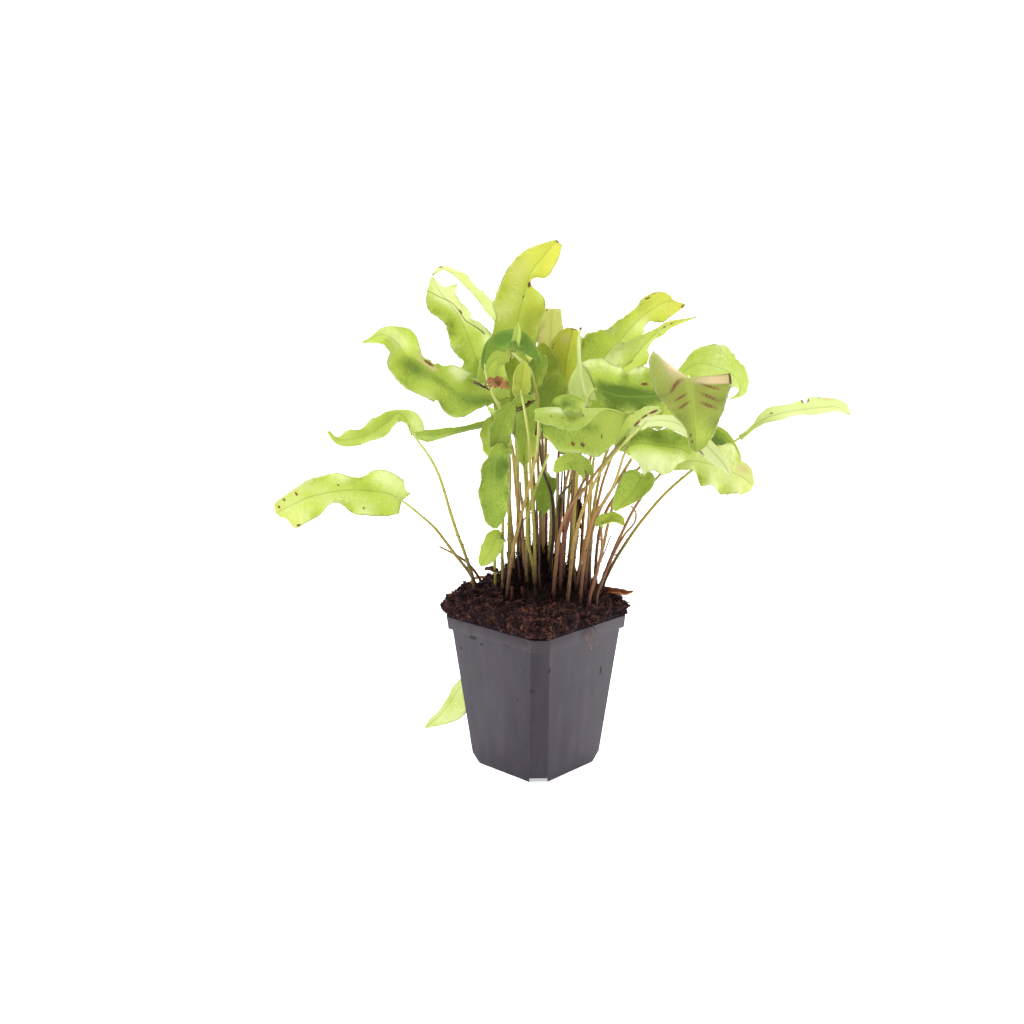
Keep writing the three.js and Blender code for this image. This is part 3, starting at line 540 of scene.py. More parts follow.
bladeRule = {
    "rowStep": 1.2,  # millimetres
    "columns": 24,
    "slashSlant": 0.55,
    "base": 0.62,  # share of the full width at the base
    "tip": 0.09,
    "peak": 0.28,  # how far along the blade is widest
    "taper": 1.7,
    "fullness": 0.8,
    "lobes": (0.16, 0.16),
    "lobeEnd": 0.2,
    "scallop": 0.05,
    "scallopRate": 1.6,
    "ragged": 0.14,
    "sideShift": 0.35,  # the two edges wave out of step
    "thickness": 0.4,
    "ribDepth": 0.7,
    "frill": 3.4,
    "stalkFoot": 1.25,
    "stalkHead": 0.8,
    "least": 0.4,  # half width, millimetres
    "stub": 0.4,  # radius of the stalk's end on a leaf that has lost its stalk
    "bareFoot": 1.1,
    "bareHead": 0.6,
    "scales": 90000.0,  # to the square metre, at the stalk's foot
    "bareScales": 60000.0,
    "sway": 0.35,
}


# the half width along a blade of plain outline, as a share of the widest
def plainOutline(t, base, tip, peak):
    rising = base + (1 - base) * np.sin(np.minimum(t / peak, 1) * math.pi / 2)
    late = np.maximum((t - peak) / (1 - peak), 0) ** bladeRule["taper"]
    falling = tip + (1 - tip) * np.maximum(np.cos(late * math.pi / 2), 0) ** bladeRule["fullness"]
    return np.where(t < peak, rising, falling)


stalkTree = makeStalkTree()
frondTree = makeFrondTree(stalkTree)
print("frond trees ready")

# Each frond is one path in the plant's own frame, in millimetres (x to the right of the photograph,
# y away, z up): the stalk's points, then the midrib's. face is where the blade's upper side looks,
# from base to tip; fold lifts both halves, and curl rolls the right and the left half further up.
fronds = {
    "frond_left_arch": {
        "stalk": [[-39, -5, 106], [-40, -7, 122], [-45, -17, 143], [-51, -29, 166], [-61, -37, 201]],
        "rib": [[-74, -41, 222.5], [-77, -42.5, 230.5], [-82.5, -43.5, 235], [-88.5, -45, 230.5],
            [-95, -46.5, 225.5], [-102.5, -48.5, 222], [-109.5, -50, 220.5], [-117, -51, 220],
            [-123, -52, 225.5]],
        "face": [[-.1, -.75, .65], [0, -.85, .5], [0, -.8, .6]],
        "width": 25, "fold": .1, "curl": [.2, .5], "wave": 2.6, "waves": 3.5, "phase": .1,
        "edges": [[7, 8.6, 6.5, 2.2, 5.9, 6.8, 6.8, 5.8, 5.5, 5.7, 4.1, .9, 1],
            [2, 1.3, 3.3, 8, 7.5, 7.3, 6.8, 7.2, 6.7, 5.4, 5.1, 3, 1.4]]},
    "frond_left_low": {
        "stalk": [[-38, 2, 106], [-41, 1, 122], [-56, -2, 144], [-67, -5, 159]],
        "rib": [[-85, -8, 175], [-94.5, -9.5, 180], [-104, -10.5, 181.5], [-114, -11.5, 182.5],
            [-125, -13, 182], [-136, -14, 180], [-145, -15, 177.5], [-154.5, -16.5, 173],
            [-163.2, -17.6, 168.5]],
        "face": [[0, -.85, .5], [0, -.9, .4], [0, -.95, .25]],
        "width": 29, "fold": .1, "curl": [.2, .3], "wave": 3, "waves": 3.5, "phase": .3, "blunt": 2.5,
        "edges": [[9, 12.1, 13.5, 13.6, 8.9, 8.7, 11.3, 11.9, 11.2, 8.7, 8.1, 7.2, 5.6],
                  [8.7, 14.3, 17.2, 18.6, 18.2, 14.8, 9.1, 9.9, 13.6, 15.2, 16, 15, 5]]},
    "frond_left_hook": {
        "stalk": [[-16, -12, 106], [-17, -12, 120], [-17, -14, 165], [-17, -14, 205]],
        "rib": [[-24, -13, 238.5], [-37, -15.5, 241.5], [-48, -18, 243.5], [-56.5, -20.5, 251.5],
            [-67.5, -24, 258.5], [-77.5, -26, 266.5], [-84, -27.5, 275.5], [-92.5, -30.5, 280.5],
            [-104, -33, 276]],
        "face": [[0, -.8, .6], [-.1, -.85, .5], [-.5, -.8, .3], [-.2, -.5, .85]],
        "width": 29, "fold": .15, "curl": [.3, .4], "wave": 3.4, "waves": 3.5, "phase": .7,
        "edges": [[7, 8.9, 12.1, 15.5, 14.6, 10.6, 8.8, 6.8, 13.1, 12.9, 7.2, 1.8, 1],
            [5, 6.2, 12.9, 18.2, 12.5, 17.9, 16.4, 16.5, 13.4, 7.7, 8.8, 13.7, 3.7]]},
    "frond_left_folded": {
        "stalk": [[-12, -4, 106], [-13, -3, 120], [-17, 0, 170], [-20, 3, 210]],
        "rib": [[-24.5, 5, 237.5], [-30, 5, 248], [-35, 5, 257], [-39, 4.5, 266.5], [-43, 4, 277.5],
            [-47.5, 3.5, 288], [-53, 3, 296.5], [-59.5, 3, 304], [-65, 3, 314]],
        "face": [[-.3, -.9, .3], [-.4, -.85, .3]],
        "width": 32, "fold": .1, "curl": [.7, .2], "wave": 3, "waves": 4.5, "phase": .2,
        "edges": [[9, 13, 17.3, 19.8, 21.3, 20.9, 17.6, 14.8, 9.5, 7.1, 15.3, 4.1, 1],
            [8, 10.3, 12.7, 13.3, 11.8, 10.7, 12.3, 12.2, 9.3, 11.8, 12.8, 7.6, 1]]},
    "frond_left_thin": {
        "stalk": [[-8, 14, 106], [-9, 15, 120], [-12, 24, 180], [-15, 30, 230]],
        "rib": [[-18, 33, 262], [-24, 34, 280], [-37, 32, 298], [-50, 30, 312], [-60, 29, 318],
            [-67, 28, 314]],
        "face": [[.5, -.5, .7], [0, -.3, .95]],
        "width": 14, "fold": .3, "curl": [.3, .3], "wave": 1.2, "waves": 4, "phase": 0},
    "frond_tallest": {
        "stalk": [[4, 3, 106], [4, 3, 120], [2, 6, 170], [0, 9, 220], [-4, 12, 248]],
        "rib": [[-14, 14, 268], [-13, 13.5, 278.5], [-12, 13, 287], [-10, 12, 296], [-7.5, 10.5, 305.5],
            [-4.5, 8.5, 315], [0, 6.5, 322], [5.5, 4.5, 328.5], [12, 2, 336]],
        "face": [[.1, -.95, .2], [.05, -.95, .25], [.2, -.9, .3]],
        "width": 31, "fold": .1, "curl": [.2, .3], "wave": 2.4, "waves": 3, "phase": .4,
        "edges": [[13.6, 13.4, 14.3, 15, 15.6, 15.4, 13.1, 3.7, 8.4, 10.4, 9.9, 7.9, 4.4],
            [9, 14.7, 15.8, 14.6, 17.8, 17.6, 16.6, 15.8, 13.6, 11.7, 8.9, 5.2, .9]]},
    "frond_inner_left": {
        "stalk": [[-12, 9, 106], [-12, 10, 120], [-12, 13, 170], [-12, 16, 205]],
        "rib": [[-12.5, 17.5, 216], [-13.5, 19.5, 229], [-15, 22, 243], [-15, 24, 258], [-13, 25, 272]],
        "face": [[0, -.95, .3]],
        "width": 29, "fold": .2, "curl": [.3, .4], "wave": 1.8, "waves": 3, "phase": .5},
    "frond_inner_right": {
        "stalk": [[7, 13, 106], [7, 14, 120], [6, 18, 170], [4, 21, 205]],
        "rib": [[3, 23, 226], [4, 25, 242], [5, 26, 256], [3, 26, 272]],
        "face": [[0, -.95, .3]],
        "width": 23, "fold": .15, "curl": [.4, .3], "wave": 1.5, "waves": 2, "phase": .9},
    "frond_inner_shade": {
        "stalk": [[33, -1, 106], [33, -1, 120], [34, -2, 165], [36, -4, 200]],
        "rib": [[38, -6, 218.5], [46.5, -8, 226], [57.5, -9, 233], [69.5, -10, 236.5], [83, -11, 235.5],
            [95, -12, 230], [102, -12, 222]],
        "face": [[-.1, -.85, .5], [0, -.85, .5], [.2, -.85, .4]],
        "width": 40, "fold": .2, "curl": [.3, .4], "wave": 2.6, "waves": 3.5, "phase": .3},
    "frond_dark_arch": {
        "stalk": [[-6, -15, 106], [-6, -16, 120], [-6, -22, 170], [-8, -28, 205], [-16, -30, 226],
            [-26, -31, 244]],
        "rib": [[-31, -32, 260], [-31, -32, 268.5], [-29.5, -32, 275.5], [-24.5, -33, 281],
            [-17.5, -34, 283.5], [-11.5, -35, 283.5], [-6.5, -36, 281], [-2, -37, 276], [1.5, -38, 269],
            [2, -38, 265]],
        "face": [[.6, -.75, .2], [.1, -.95, .2], [0, -.9, .4], [0, -.95, .2], [-.2, -.95, .1]],
        "width": 12, "fold": .1, "curl": [.4, .1], "wave": 1, "waves": 2.5, "phase": .5, "frill": 2,
        "lobes": [0, 0],
        "edges": [[.8, 1.5, 4, 8.5, 12.5, 14.5, 14.5, 14, 13, 11.5, 9, 5.5, 1],
                  [2, 2.6, 2, 1.2, .8, .8, .8, .8, .8, .8, .8, .8, .8]]},
    "frond_small_oval": {
        "stalk": [[0, -17, 106], [0, -18, 120], [-2, -26, 170], [-5, -36, 220]],
        "rib": [[-9, -40, 246], [-9, -42, 251], [-8.5, -43, 256], [-8, -42, 261], [-7, -41, 266]],
        "face": [[0, -.95, .3]],
        "width": 12, "fold": .2, "curl": [.4, .4], "wave": .6, "waves": 1.5, "phase": 0},
    "frond_pink": {
        "stalk": [[6, 23, 106], [6, 24, 120], [6, 34, 180], [7, 42, 225]],
        "rib": [[7, 44, 246], [8, 44, 262], [9, 43, 278], [10, 42, 293]],
        "face": [[.1, -.98, .1]],
        "width": 17, "fold": .1, "curl": [.2, .2], "wave": .8, "waves": 2, "phase": .3, "tip": .6},
    "frond_spotted": {
        "stalk": [[13, 15, 106], [13, 16, 120], [14, 24, 180]],
        "rib": [[16, 30, 236], [17.5, 31, 247.5], [19, 31, 259.5], [21, 30, 270.5], [23, 29, 281]],
        "face": [[-.1, -.95, .25]],
        "width": 27, "fold": .1, "curl": [.3, .5], "wave": 1.6, "waves": 2.5, "phase": .6,
        "edges": [[9, 10, 10.5, 10.5, 10, 9.5, 9.5, 10, 10.5, 10, 9, 7, 3],
                  [10, 13, 15, 16, 16, 15, 14, 13.5, 13, 12.5, 11, 8, 4]]},
    "frond_pale_back": {
        "stalk": [[17, -8, 106], [17, -9, 120], [20, -15, 180], [27, -20, 225]],
        "rib": [[30, -22, 241], [28.5, -22, 248], [27, -22, 255.5], [26, -22, 263], [25.5, -21.5, 270.5],
            [25.5, -21, 277.5], [26.5, -20, 284.5]],
        "face": [[-.2, .95, .2]],
        "width": 19, "fold": .2, "curl": [.4, .4], "wave": 1.1, "waves": 2, "phase": .1,
        "edges": [[5, 9, 10, 9, 7, 4, 1.8, 1.4, 1.4, 1.3, 1.2, 1, .8],
            [7, 11, 12, 11, 8, 5, 2, 1.4, 1.4, 1.3, 1.2, 1, .8]]},
    "frond_right_high": {
        "stalk": [[24, 12, 106], [24, 13, 120], [26, 18, 180], [27, 22, 222]],
        "rib": [[30.5, 23, 248], [36.5, 23.5, 257.5], [44, 24, 264], [51.5, 24, 271], [58.5, 24, 280],
            [66.5, 23.5, 288], [74, 22.5, 294], [83, 21, 298.5], [93.5, 19, 296.5]],
        "face": [[-.4, -.85, .35], [-.3, -.85, .45], [-.2, -.85, .5]],
        "width": 30, "fold": .1, "curl": [.2, .3], "wave": 3, "waves": 3.5, "phase": .8, "tip": .25,
        "edges": [[7, 8.8, 8.9, 9, 9.1, 9.9, 11.8, 11.1, 7.8, 11.6, 13.7, 13.2, 1],
            [6, 8.9, 16.1, 20.3, 15.9, 13.7, 14.4, 9.2, 7, 9.4, 8.8, .8, 1]]},
    "frond_right_slim": {
        "stalk": [[28, 4, 106], [28, 4, 120], [32, 6, 180], [38, 8, 225]],
        "rib": [[43, 9, 246], [49.5, 9, 253.5], [56, 9, 259], [62, 8.5, 265], [68, 8, 272.5],
            [75, 6.5, 279.5], [81.5, 5.5, 284], [89.5, 5, 287], [98.5, 4, 289.5]],
        "face": [[-.3, -.8, .5], [-.3, -.7, .65]],
        "width": 22, "fold": .2, "curl": [.3, .3], "wave": 1.3, "waves": 3, "phase": .2,
        "edges": [[8.9, 11.2, 10, 8.9, 10.5, 12.1, 6.8, 3.9, 5.6, 3.8, 3.4, 2.7, .6],
            [6, 9.5, 13, 14.6, 13, 10.7, 7.4, 4.7, 2.5, 2.7, 2, .7, .6]]},
    "frond_ruffled": {
        "stalk": [[21, -18, 106], [21, -18, 120], [24, -26, 180], [27, -36, 226], [30, -42.5, 243]],
        "rib": [[34, -46, 250], [39, -47, 249], [45, -48, 247], [52, -49, 246], [60, -49, 246],
            [68.5, -48, 246], [75, -46, 245]],
        "face": [[0, -.75, .65], [0, -.85, .5], [0, -.85, .5], [.1, -.75, .65]],
        "width": 26, "fold": .15, "curl": [-.5, .8], "wave": 2.6, "waves": 3, "phase": .4, "lobes": [0, .14],
        "edges": [[2, 6, 9.5, 11.5, 12, 12, 11.5, 11, 10.5, 10, 8, 5, 1],
                  [17.5, 18.5, 17.5, 16.5, 16, 15.7, 15.7, 16.5, 17.5, 18.5, 17, 12, 1]]},
    "frond_right_arch": {
        "stalk": [[34, -7, 106], [34, -7, 120], [36, -9, 170], [44, -14, 208], [60, -22, 235]],
        "rib": [[79, -28, 249], [85.5, -29, 255], [90.5, -29, 260.5], [97.5, -29, 263.5], [106, -28.5, 262],
            [114.5, -27, 258.5], [121, -25.5, 253.5], [122.5, -23.5, 246], [116.5, -21, 240.5]],
        "face": [[-.2, -.7, .7], [0, -.7, .7], [.6, -.6, .5], [.9, -.3, 0]],
        "width": 29, "fold": .1, "curl": [.2, .2], "wave": 1.6, "waves": 2.5, "phase": 0,
        "edges": [[8, 9.5, 9.4, 13.3, 16.4, 16.5, 14.9, 13.4, 14.3, 11, 7.7, 4.3, 1],
            [4, 4.5, 4, 5, 10, 13, 14.5, 15, 14, 13, 10, 6, 1]]},
    "frond_brown_veined": {
        "stalk": [[31, -15, 106], [31, -16, 120], [33, -22, 150], [39, -30, 174], [51, -41, 198],
            [65, -50, 223], [78, -62, 246], [84, -72, 258.5]],
        "rib": [[85.3, -78, 260.3], [85.8, -80.8, 256], [86.3, -82.5, 251], [86.8, -84.5, 245],
            [87.5, -86, 238.5], [88.5, -87, 231.5], [89.5, -88, 219.5]],
        "face": [[0, -.7, .7], [0, -.9, .4], [0, -1, .1], [0, -1, 0]],
        "width": 44, "fold": .1, "curl": [.3, .15], "wave": 1.4, "waves": 3.5, "phase": .5, "frill": 2.4,
        "lobes": [.6, -.12], "blunt": 4,
        "edges": [[10.5, 22.5, 22.5, 20, 17.5, 15, 11.5, 8, 6, 5, 4.5, 4, 3],
                  [22.5, 23, 22.5, 21.5, 20, 18.5, 17, 15.5, 13.5, 11.5, 9, 6.5, 4]]},
    "frond_far_right": {
        "stalk": [[43, 2, 106], [44, 1, 120], [58, -2, 148], [80, -5, 178], [104, -6, 200]],
        "rib": [[127, -6, 215.5], [134.5, -6.5, 222], [141, -7.5, 227.5], [149, -9, 230.5],
            [158.5, -11, 233], [168, -12.5, 234.5], [176, -13.5, 235.5], [184.5, -14.5, 235.5],
            [192.3, -16, 231]],
        "face": [[0, -.75, .65], [0, -.7, .7], [.2, -.7, .7]],
        "width": 19, "fold": .2, "curl": [.2, .3], "wave": 1.2, "waves": 3, "phase": .3,
        "edges": [[2.5, 2, 2.6, 4.5, 5.2, 5.6, 5.6, 6, 6.2, 6, 5.6, 4, .6],
            [2, 1.6, 2, 4, 5.6, 5.6, 5.4, 6.6, 6.9, 6.6, 6.2, 5, .6]]},
    "frond_right_broad": {
        "stalk": [[40, -9, 106], [41, -10, 120], [50, -18, 148], [62, -28, 178]],
        "rib": [[79.5, -36, 202.5], [86, -37.5, 205], [92.5, -38, 206], [98.5, -38, 205.5],
            [106, -38, 203.5], [113, -38, 201], [119, -37.5, 198.5], [125, -36.5, 195.5], [131, -36, 190.5]],
        "face": [[0, -.7, .7], [.1, -.75, .65], [.2, -.8, .6]],
        "width": 34, "fold": .1, "curl": [.2, .3], "wave": 3.2, "waves": 3.5, "phase": .1, "tip": .4,
        "edges": [[3.4, 7.2, 8.1, 10.8, 16.5, 18.5, 19.2, 19.2, 18.4, 16.9, 14.9, 12.8, 4.3],
            [7, 8.6, 10.4, 12.2, 13.2, 14, 14.8, 15.3, 14.9, 12.9, 8.9, 5.5, 2.1]]},
    "frond_right_dark": {
        "stalk": [[38, 4, 106], [38, 4, 120], [42, 0, 160], [58, -7, 190], [82, -13, 210]],
        "rib": [[100, -16, 218], [107.5, -17, 221.5], [113.5, -18, 220], [119, -18, 214], [123, -18, 205.5],
            [124.5, -18, 198]],
        "face": [[0, -.9, .4]],
        "width": 19, "fold": .1, "curl": [.3, .3], "wave": 1, "waves": 2, "phase": .6,
        "edges": [[3, 8, 11, 12, 12, 12, 12, 12, 11, 10, 8, 5, 1],
                  [1, 2, 2.6, 3, 3, 3, 3, 3, 3, 3, 3, 2, .6]]},
    "frond_middle_pale": {
        "stalk": [[20, -29, 106], [20, -30, 120], [25, -42, 165], [38, -52, 202]],
        "rib": [[60, -60, 229], [67, -63, 233.5], [74.5, -66, 234], [81, -68, 232.5], [87.5, -69, 228.5],
            [94.5, -71, 223], [101, -72, 217], [107, -72, 210.5], [111.5, -72, 203]],
        "face": [[0, -.6, .8], [0, -.8, .6], [0, -.95, .3], [.3, -.95, .1]],
        "width": 12, "fold": .1, "curl": [.4, .4], "wave": 1.2, "waves": 3.5, "phase": .2, "lobes": [0, 0],
        "edges": [[3, 5.5, 6.5, 6.5, 6, 5.5, 5, 5.5, 7, 7, 5.5, 3, .6],
                  [2.5, 3.5, 3.5, 3.5, 3.5, 3, 3, 3.5, 4, 4, 3.5, 2.5, .6]]},
    "frond_front_round": {
        "stalk": [[-17, -22, 106], [-18, -23, 120], [-14, -32, 150], [-6, -40, 185], [0, -43, 212],
            [1, -47, 232]],
        "rib": [[-.5, -57, 238.5], [4.5, -59, 240.5], [11, -60.5, 241], [18.5, -62, 240.5],
            [26, -62.5, 240.5], [32.5, -62, 240.5], [39, -61, 240.5], [46, -58.5, 239], [52.5, -55.5, 236]],
        "face": [[0, -.25, -.95], [0, -.25, -.95], [.2, -.3, -.9]],
        "width": 38, "fold": 1.15, "curl": [.3, .2], "wave": .9, "waves": 2.5, "phase": .2, "frill": 1.4,
        "lobes": [.1, .1], "blunt": 4,
        "edges": [[10, 17, 21.5, 24, 25.5, 26.7, 27.3, 27.8, 28, 27.6, 26.5, 24, 18],
                  [6, 9.5, 12, 13, 13.2, 13, 12, 8.5, 3, 1, .8, .8, .8]]},
    "frond_striped": {
        "stalk": [[11, -25, 106], [11, -26, 120], [16, -33, 165], [33, -44, 196]],
        "rib": [[47, -52, 216.5], [52, -54, 224.5], [57.5, -56, 231], [64.5, -58, 237], [72, -60, 240.5]],
        "face": [[-.2, -.85, .5]],
        "width": 12, "fold": .1, "curl": [.3, .3], "wave": .8, "waves": 2.5, "phase": 0, "lobes": [0, 0]},
    "frond_middle_fold": {
        "stalk": [[28, -25, 106], [28, -26, 120], [33, -36, 165], [45, -48, 190]],
        "rib": [[52, -55, 214], [56.5, -57, 218.5], [63, -58, 219.5], [70, -58, 218.5], [77.5, -58, 217.5],
            [84.5, -58, 216.5], [90.5, -57, 212.5]],
        "face": [[0, -.8, .6]],
        "width": 26, "fold": .25, "curl": [-.5, .5], "wave": 2.2, "waves": 3, "phase": .4,
        "edges": [[3, 7, 11, 15.5, 20.5, 18, 18.5, 19, 17, 14, 11, 8, 3],
                  [3, 6, 9, 10.5, 10.5, 10, 10, 10, 10, 10, 8, 6, 1]]},
    "frond_hanging_right": {
        "stalk": [[36, -15, 106], [36, -16, 120], [43, -24, 155], [48, -29, 182], [54, -34, 198]],
        "rib": [[62.5, -39, 198.5], [60.5, -43, 192.5], [56.5, -45, 186.5], [52, -45, 181.5],
            [47, -44, 176.5]],
        "face": [[.5, -.3, .8], [.1, -.95, .2], [0, -1, 0]],
        "width": 24, "fold": .2, "curl": [.3, .3], "wave": 1.2, "waves": 1.5, "phase": .3,
        "edges": [[5, 7.2, 9.9, 12.3, 12.3, 11.4, 10.7, 10.2, 9.3, 7.9, 6.4, 4.4, 1.9],
            [6, 8.8, 9.1, 9.1, 8.1, 7.2, 6.1, 5, 4, 3.1, 2.3, 1.5, .8]]},
    "frond_small_curl": {
        "stalk": [[33, -25, 106], [34, -26, 120], [40, -31, 145]],
        "rib": [[40, -34, 165], [43, -36, 168], [46.5, -37, 169], [50, -37, 168.5], [53.5, -37, 166]],
        "face": [[0, -.6, .8]],
        "width": 11, "fold": .3, "curl": [.6, .6], "wave": .5, "waves": 1.5, "phase": 0},
    "frond_hanging_left": {
        "stalk": [[-20, -11, 106], [-21, -12, 120], [-21, -18, 160], [-19, -26, 200]],
        "rib": [[-17, -31, 210], [-22.5, -36, 212], [-25, -38, 205], [-25.5, -39.5, 197], [-26, -40, 189],
            [-26.5, -40, 180.5], [-26, -40, 172.5], [-25, -39, 164]],
        "face": [[0, -.5, .85], [-.3, -.9, .3], [-.2, -.98, 0], [0, -1, -.1]],
        "width": 20, "fold": .15, "curl": [.3, .3], "wave": 2.4, "waves": 3.5, "phase": .7,
        "edges": [[4, 4.2, 4.5, 5.2, 7.4, 8.3, 8.7, 8.7, 8.1, 7.4, 6.3, 4.9, 1],
            [2.1, 8, 10.3, 10, 10.4, 10.8, 11.2, 11.3, 11.2, 10.6, 8.6, 5.7, 1.3]]},
    "frond_small_left": {
        "stalk": [[-25, -5, 106], [-26, -6, 120], [-26, -14, 143]],
        "rib": [[-22.5, -20, 154], [-25.5, -24, 153], [-27, -26.5, 149], [-29, -27.5, 145.5],
            [-32, -27.5, 141.5], [-34.5, -28, 137.5]],
        "face": [[-.2, -.9, .4]],
        "width": 14, "fold": .2, "curl": [.3, .3], "wave": .7, "waves": 1.5, "phase": .2},
    "frond_narrow_middle": {
        "stalk": [[-4, -9, 106], [-4, -9, 120], [-5, -14, 170], [-7, -19, 210], [-11, -22, 228]],
        "rib": [[-11, -24, 236], [-7.5, -26, 238], [-6, -27, 231], [-6, -28, 221], [-7, -28, 210],
            [-8, -28, 201]],
        "face": [[.2, -.6, .75], [.2, -.95, .2]],
        "width": 18, "fold": .3, "curl": [.4, .4], "wave": 1.4, "waves": 2, "phase": .5},
    "frond_lower_middle": {
        "stalk": [[15, -17, 106], [15, -18, 120], [18, -26, 160], [26, -37, 188]],
        "rib": [[30, -43, 198], [25, -46, 205], [18, -47, 206], [10, -47, 201]],
        "face": [[0, -.7, .7]],
        "width": 14, "fold": .1, "curl": [.2, .3], "wave": 1.0, "waves": 2, "phase": .1},
    "frond_inner_dark": {
        "stalk": [[8, -3, 106], [8, -3, 120], [9, -5, 160], [9, -6, 180]],
        "rib": [[9, -8, 190], [7, -11, 190], [5, -13, 180], [4, -13, 167]],
        "face": [[.2, -.4, .9], [0, -1, .1]],
        "width": 13, "fold": .1, "curl": [.3, .3], "wave": .8, "waves": 1.5, "phase": .3},
    "frond_left_flat": {
        "stalk": [[-13, 6, 106], [-14, 7, 120], [-18, 8, 165], [-22, 7, 198]],
        "rib": [[-28, 2, 224], [-35.5, -2, 222.5], [-42, -5.5, 221], [-49, -9.5, 220], [-55.5, -13, 219],
            [-62.5, -16.5, 218], [-69, -19.5, 218.5], [-76, -23, 218.5]],
        "face": [[0, -.5, .85]],
        "width": 16, "fold": .1, "curl": [.3, .3], "wave": .9, "waves": 2.5, "phase": .4,
        "edges": [[2, .6, 2.6, 2.7, 2.9, 3.1, 3.4, 3.9, 4.5, 5.2, 4.8, 3.5, .2],
            [5.2, 5, 4.8, 4.6, 4.3, 4.2, 4.1, 4.5, 6, 8.6, 10.2, 9.6, 4]]},
    "frond_low_back": {
        "stalk": [[-27, 20, 104], [-31, 25, 112], [-37, 32, 115], [-44, 38, 110], [-47, 39, 98]],
        "rib": [[-47.5, 38, 84.5], [-46, 35.5, 70.5], [-45.5, 31, 57], [-48.5, 26.5, 44.5], [-55.5, 22, 33],
            [-64, 19.5, 22], [-74.5, 17, 13]],
        "face": [[-.3, .9, .3], [-.7, .5, .4], [-.6, -.7, .4], [-.4, -.85, .3]],
        "width": 27, "fold": .1, "curl": [.2, .2], "wave": 1.5, "waves": 2.5, "phase": .2,
        "edges": [[3, 3, 3, 3, 4, 6, 8, 6, 4, 3.5, 3, 3, 1], [2, 2, 2, 2, 2.5, 4, 8, 14, 18, 17, 11, 5, 1]]},
    "frond_back_high": {
        "stalk": [[-1, 24, 106], [-1, 25, 120], [-2, 40, 180], [-1, 52, 222]],
        "rib": [[0, 60, 242], [2, 70, 252], [4, 86, 258], [6, 104, 252]],
        "face": [[0, -.3, .95], [0, .3, .95]],
        "width": 27, "fold": .2, "curl": [.2, .3], "wave": 2.0, "waves": 2.5, "phase": .1},
    "frond_back_left": {
        "stalk": [[-9, 23, 106], [-10, 25, 120], [-13, 38, 165], [-16, 50, 196]],
        "rib": [[-19, 60, 211], [-21, 72, 220], [-23, 86, 221], [-23, 100, 212]],
        "face": [[-.1, -.2, .95], [-.2, .4, .9]],
        "width": 24, "fold": .2, "curl": [.3, .2], "wave": 1.8, "waves": 2.5, "phase": .5},
    "frond_back_right": {
        "stalk": [[12, 28, 106], [12, 30, 120], [19, 44, 172], [29, 56, 212]],
        "rib": [[36, 62, 228], [46, 72, 236], [60, 84, 238], [75, 94, 230]],
        "face": [[-.2, -.2, .95], [.3, .3, .9]],
        "width": 26, "fold": .2, "curl": [.3, .3], "wave": 2.0, "waves": 2.5, "phase": .3},
    "frond_back_low": {
        "stalk": [[20, 24, 106], [21, 26, 120], [24, 40, 155], [24, 52, 180]],
        "rib": [[24, 62, 194], [27, 74, 202], [31, 90, 200], [34, 105, 190]],
        "face": [[0, -.2, .95], [.1, .4, .9]],
        "width": 24, "fold": .15, "curl": [.3, .3], "wave": 1.6, "waves": 2, "phase": .7},
    "frond_back_far": {
        "stalk": [[4, 31, 106], [4, 33, 120], [5, 50, 160], [6, 66, 188]],
        "rib": [[6, 78, 202], [7, 92, 212], [9, 112, 211], [12, 130, 199]],
        "face": [[0, -.3, .95], [0, .4, .9]],
        "width": 25, "fold": .2, "curl": [.3, .2], "wave": 2.0, "waves": 3, "phase": .2},
    "frond_back_side": {
        "stalk": [[30, 20, 106], [31, 22, 120], [42, 33, 172], [55, 43, 208]],
        "rib": [[64, 48, 222], [76, 56, 231], [90, 62, 232], [103, 66, 224]],
        "face": [[-.2, -.3, .95], [.3, 0, .95]],
        "width": 24, "fold": .15, "curl": [.3, .3], "wave": 1.6, "waves": 2.5, "phase": .4},
    "stalk_bare_left": {
        "stalk": [[-34, 9, 106], [-36, 9, 118], [-46, 7, 132], [-57, 6, 139], [-63, 6, 142]]},
    "stalk_bare_right": {
        "stalk": [[38, -21, 106], [39, -22, 120], [46, -26, 140], [54, -30, 158], [60, -31, 166],
            [61, -32, 173], [58, -33, 177]]},
}
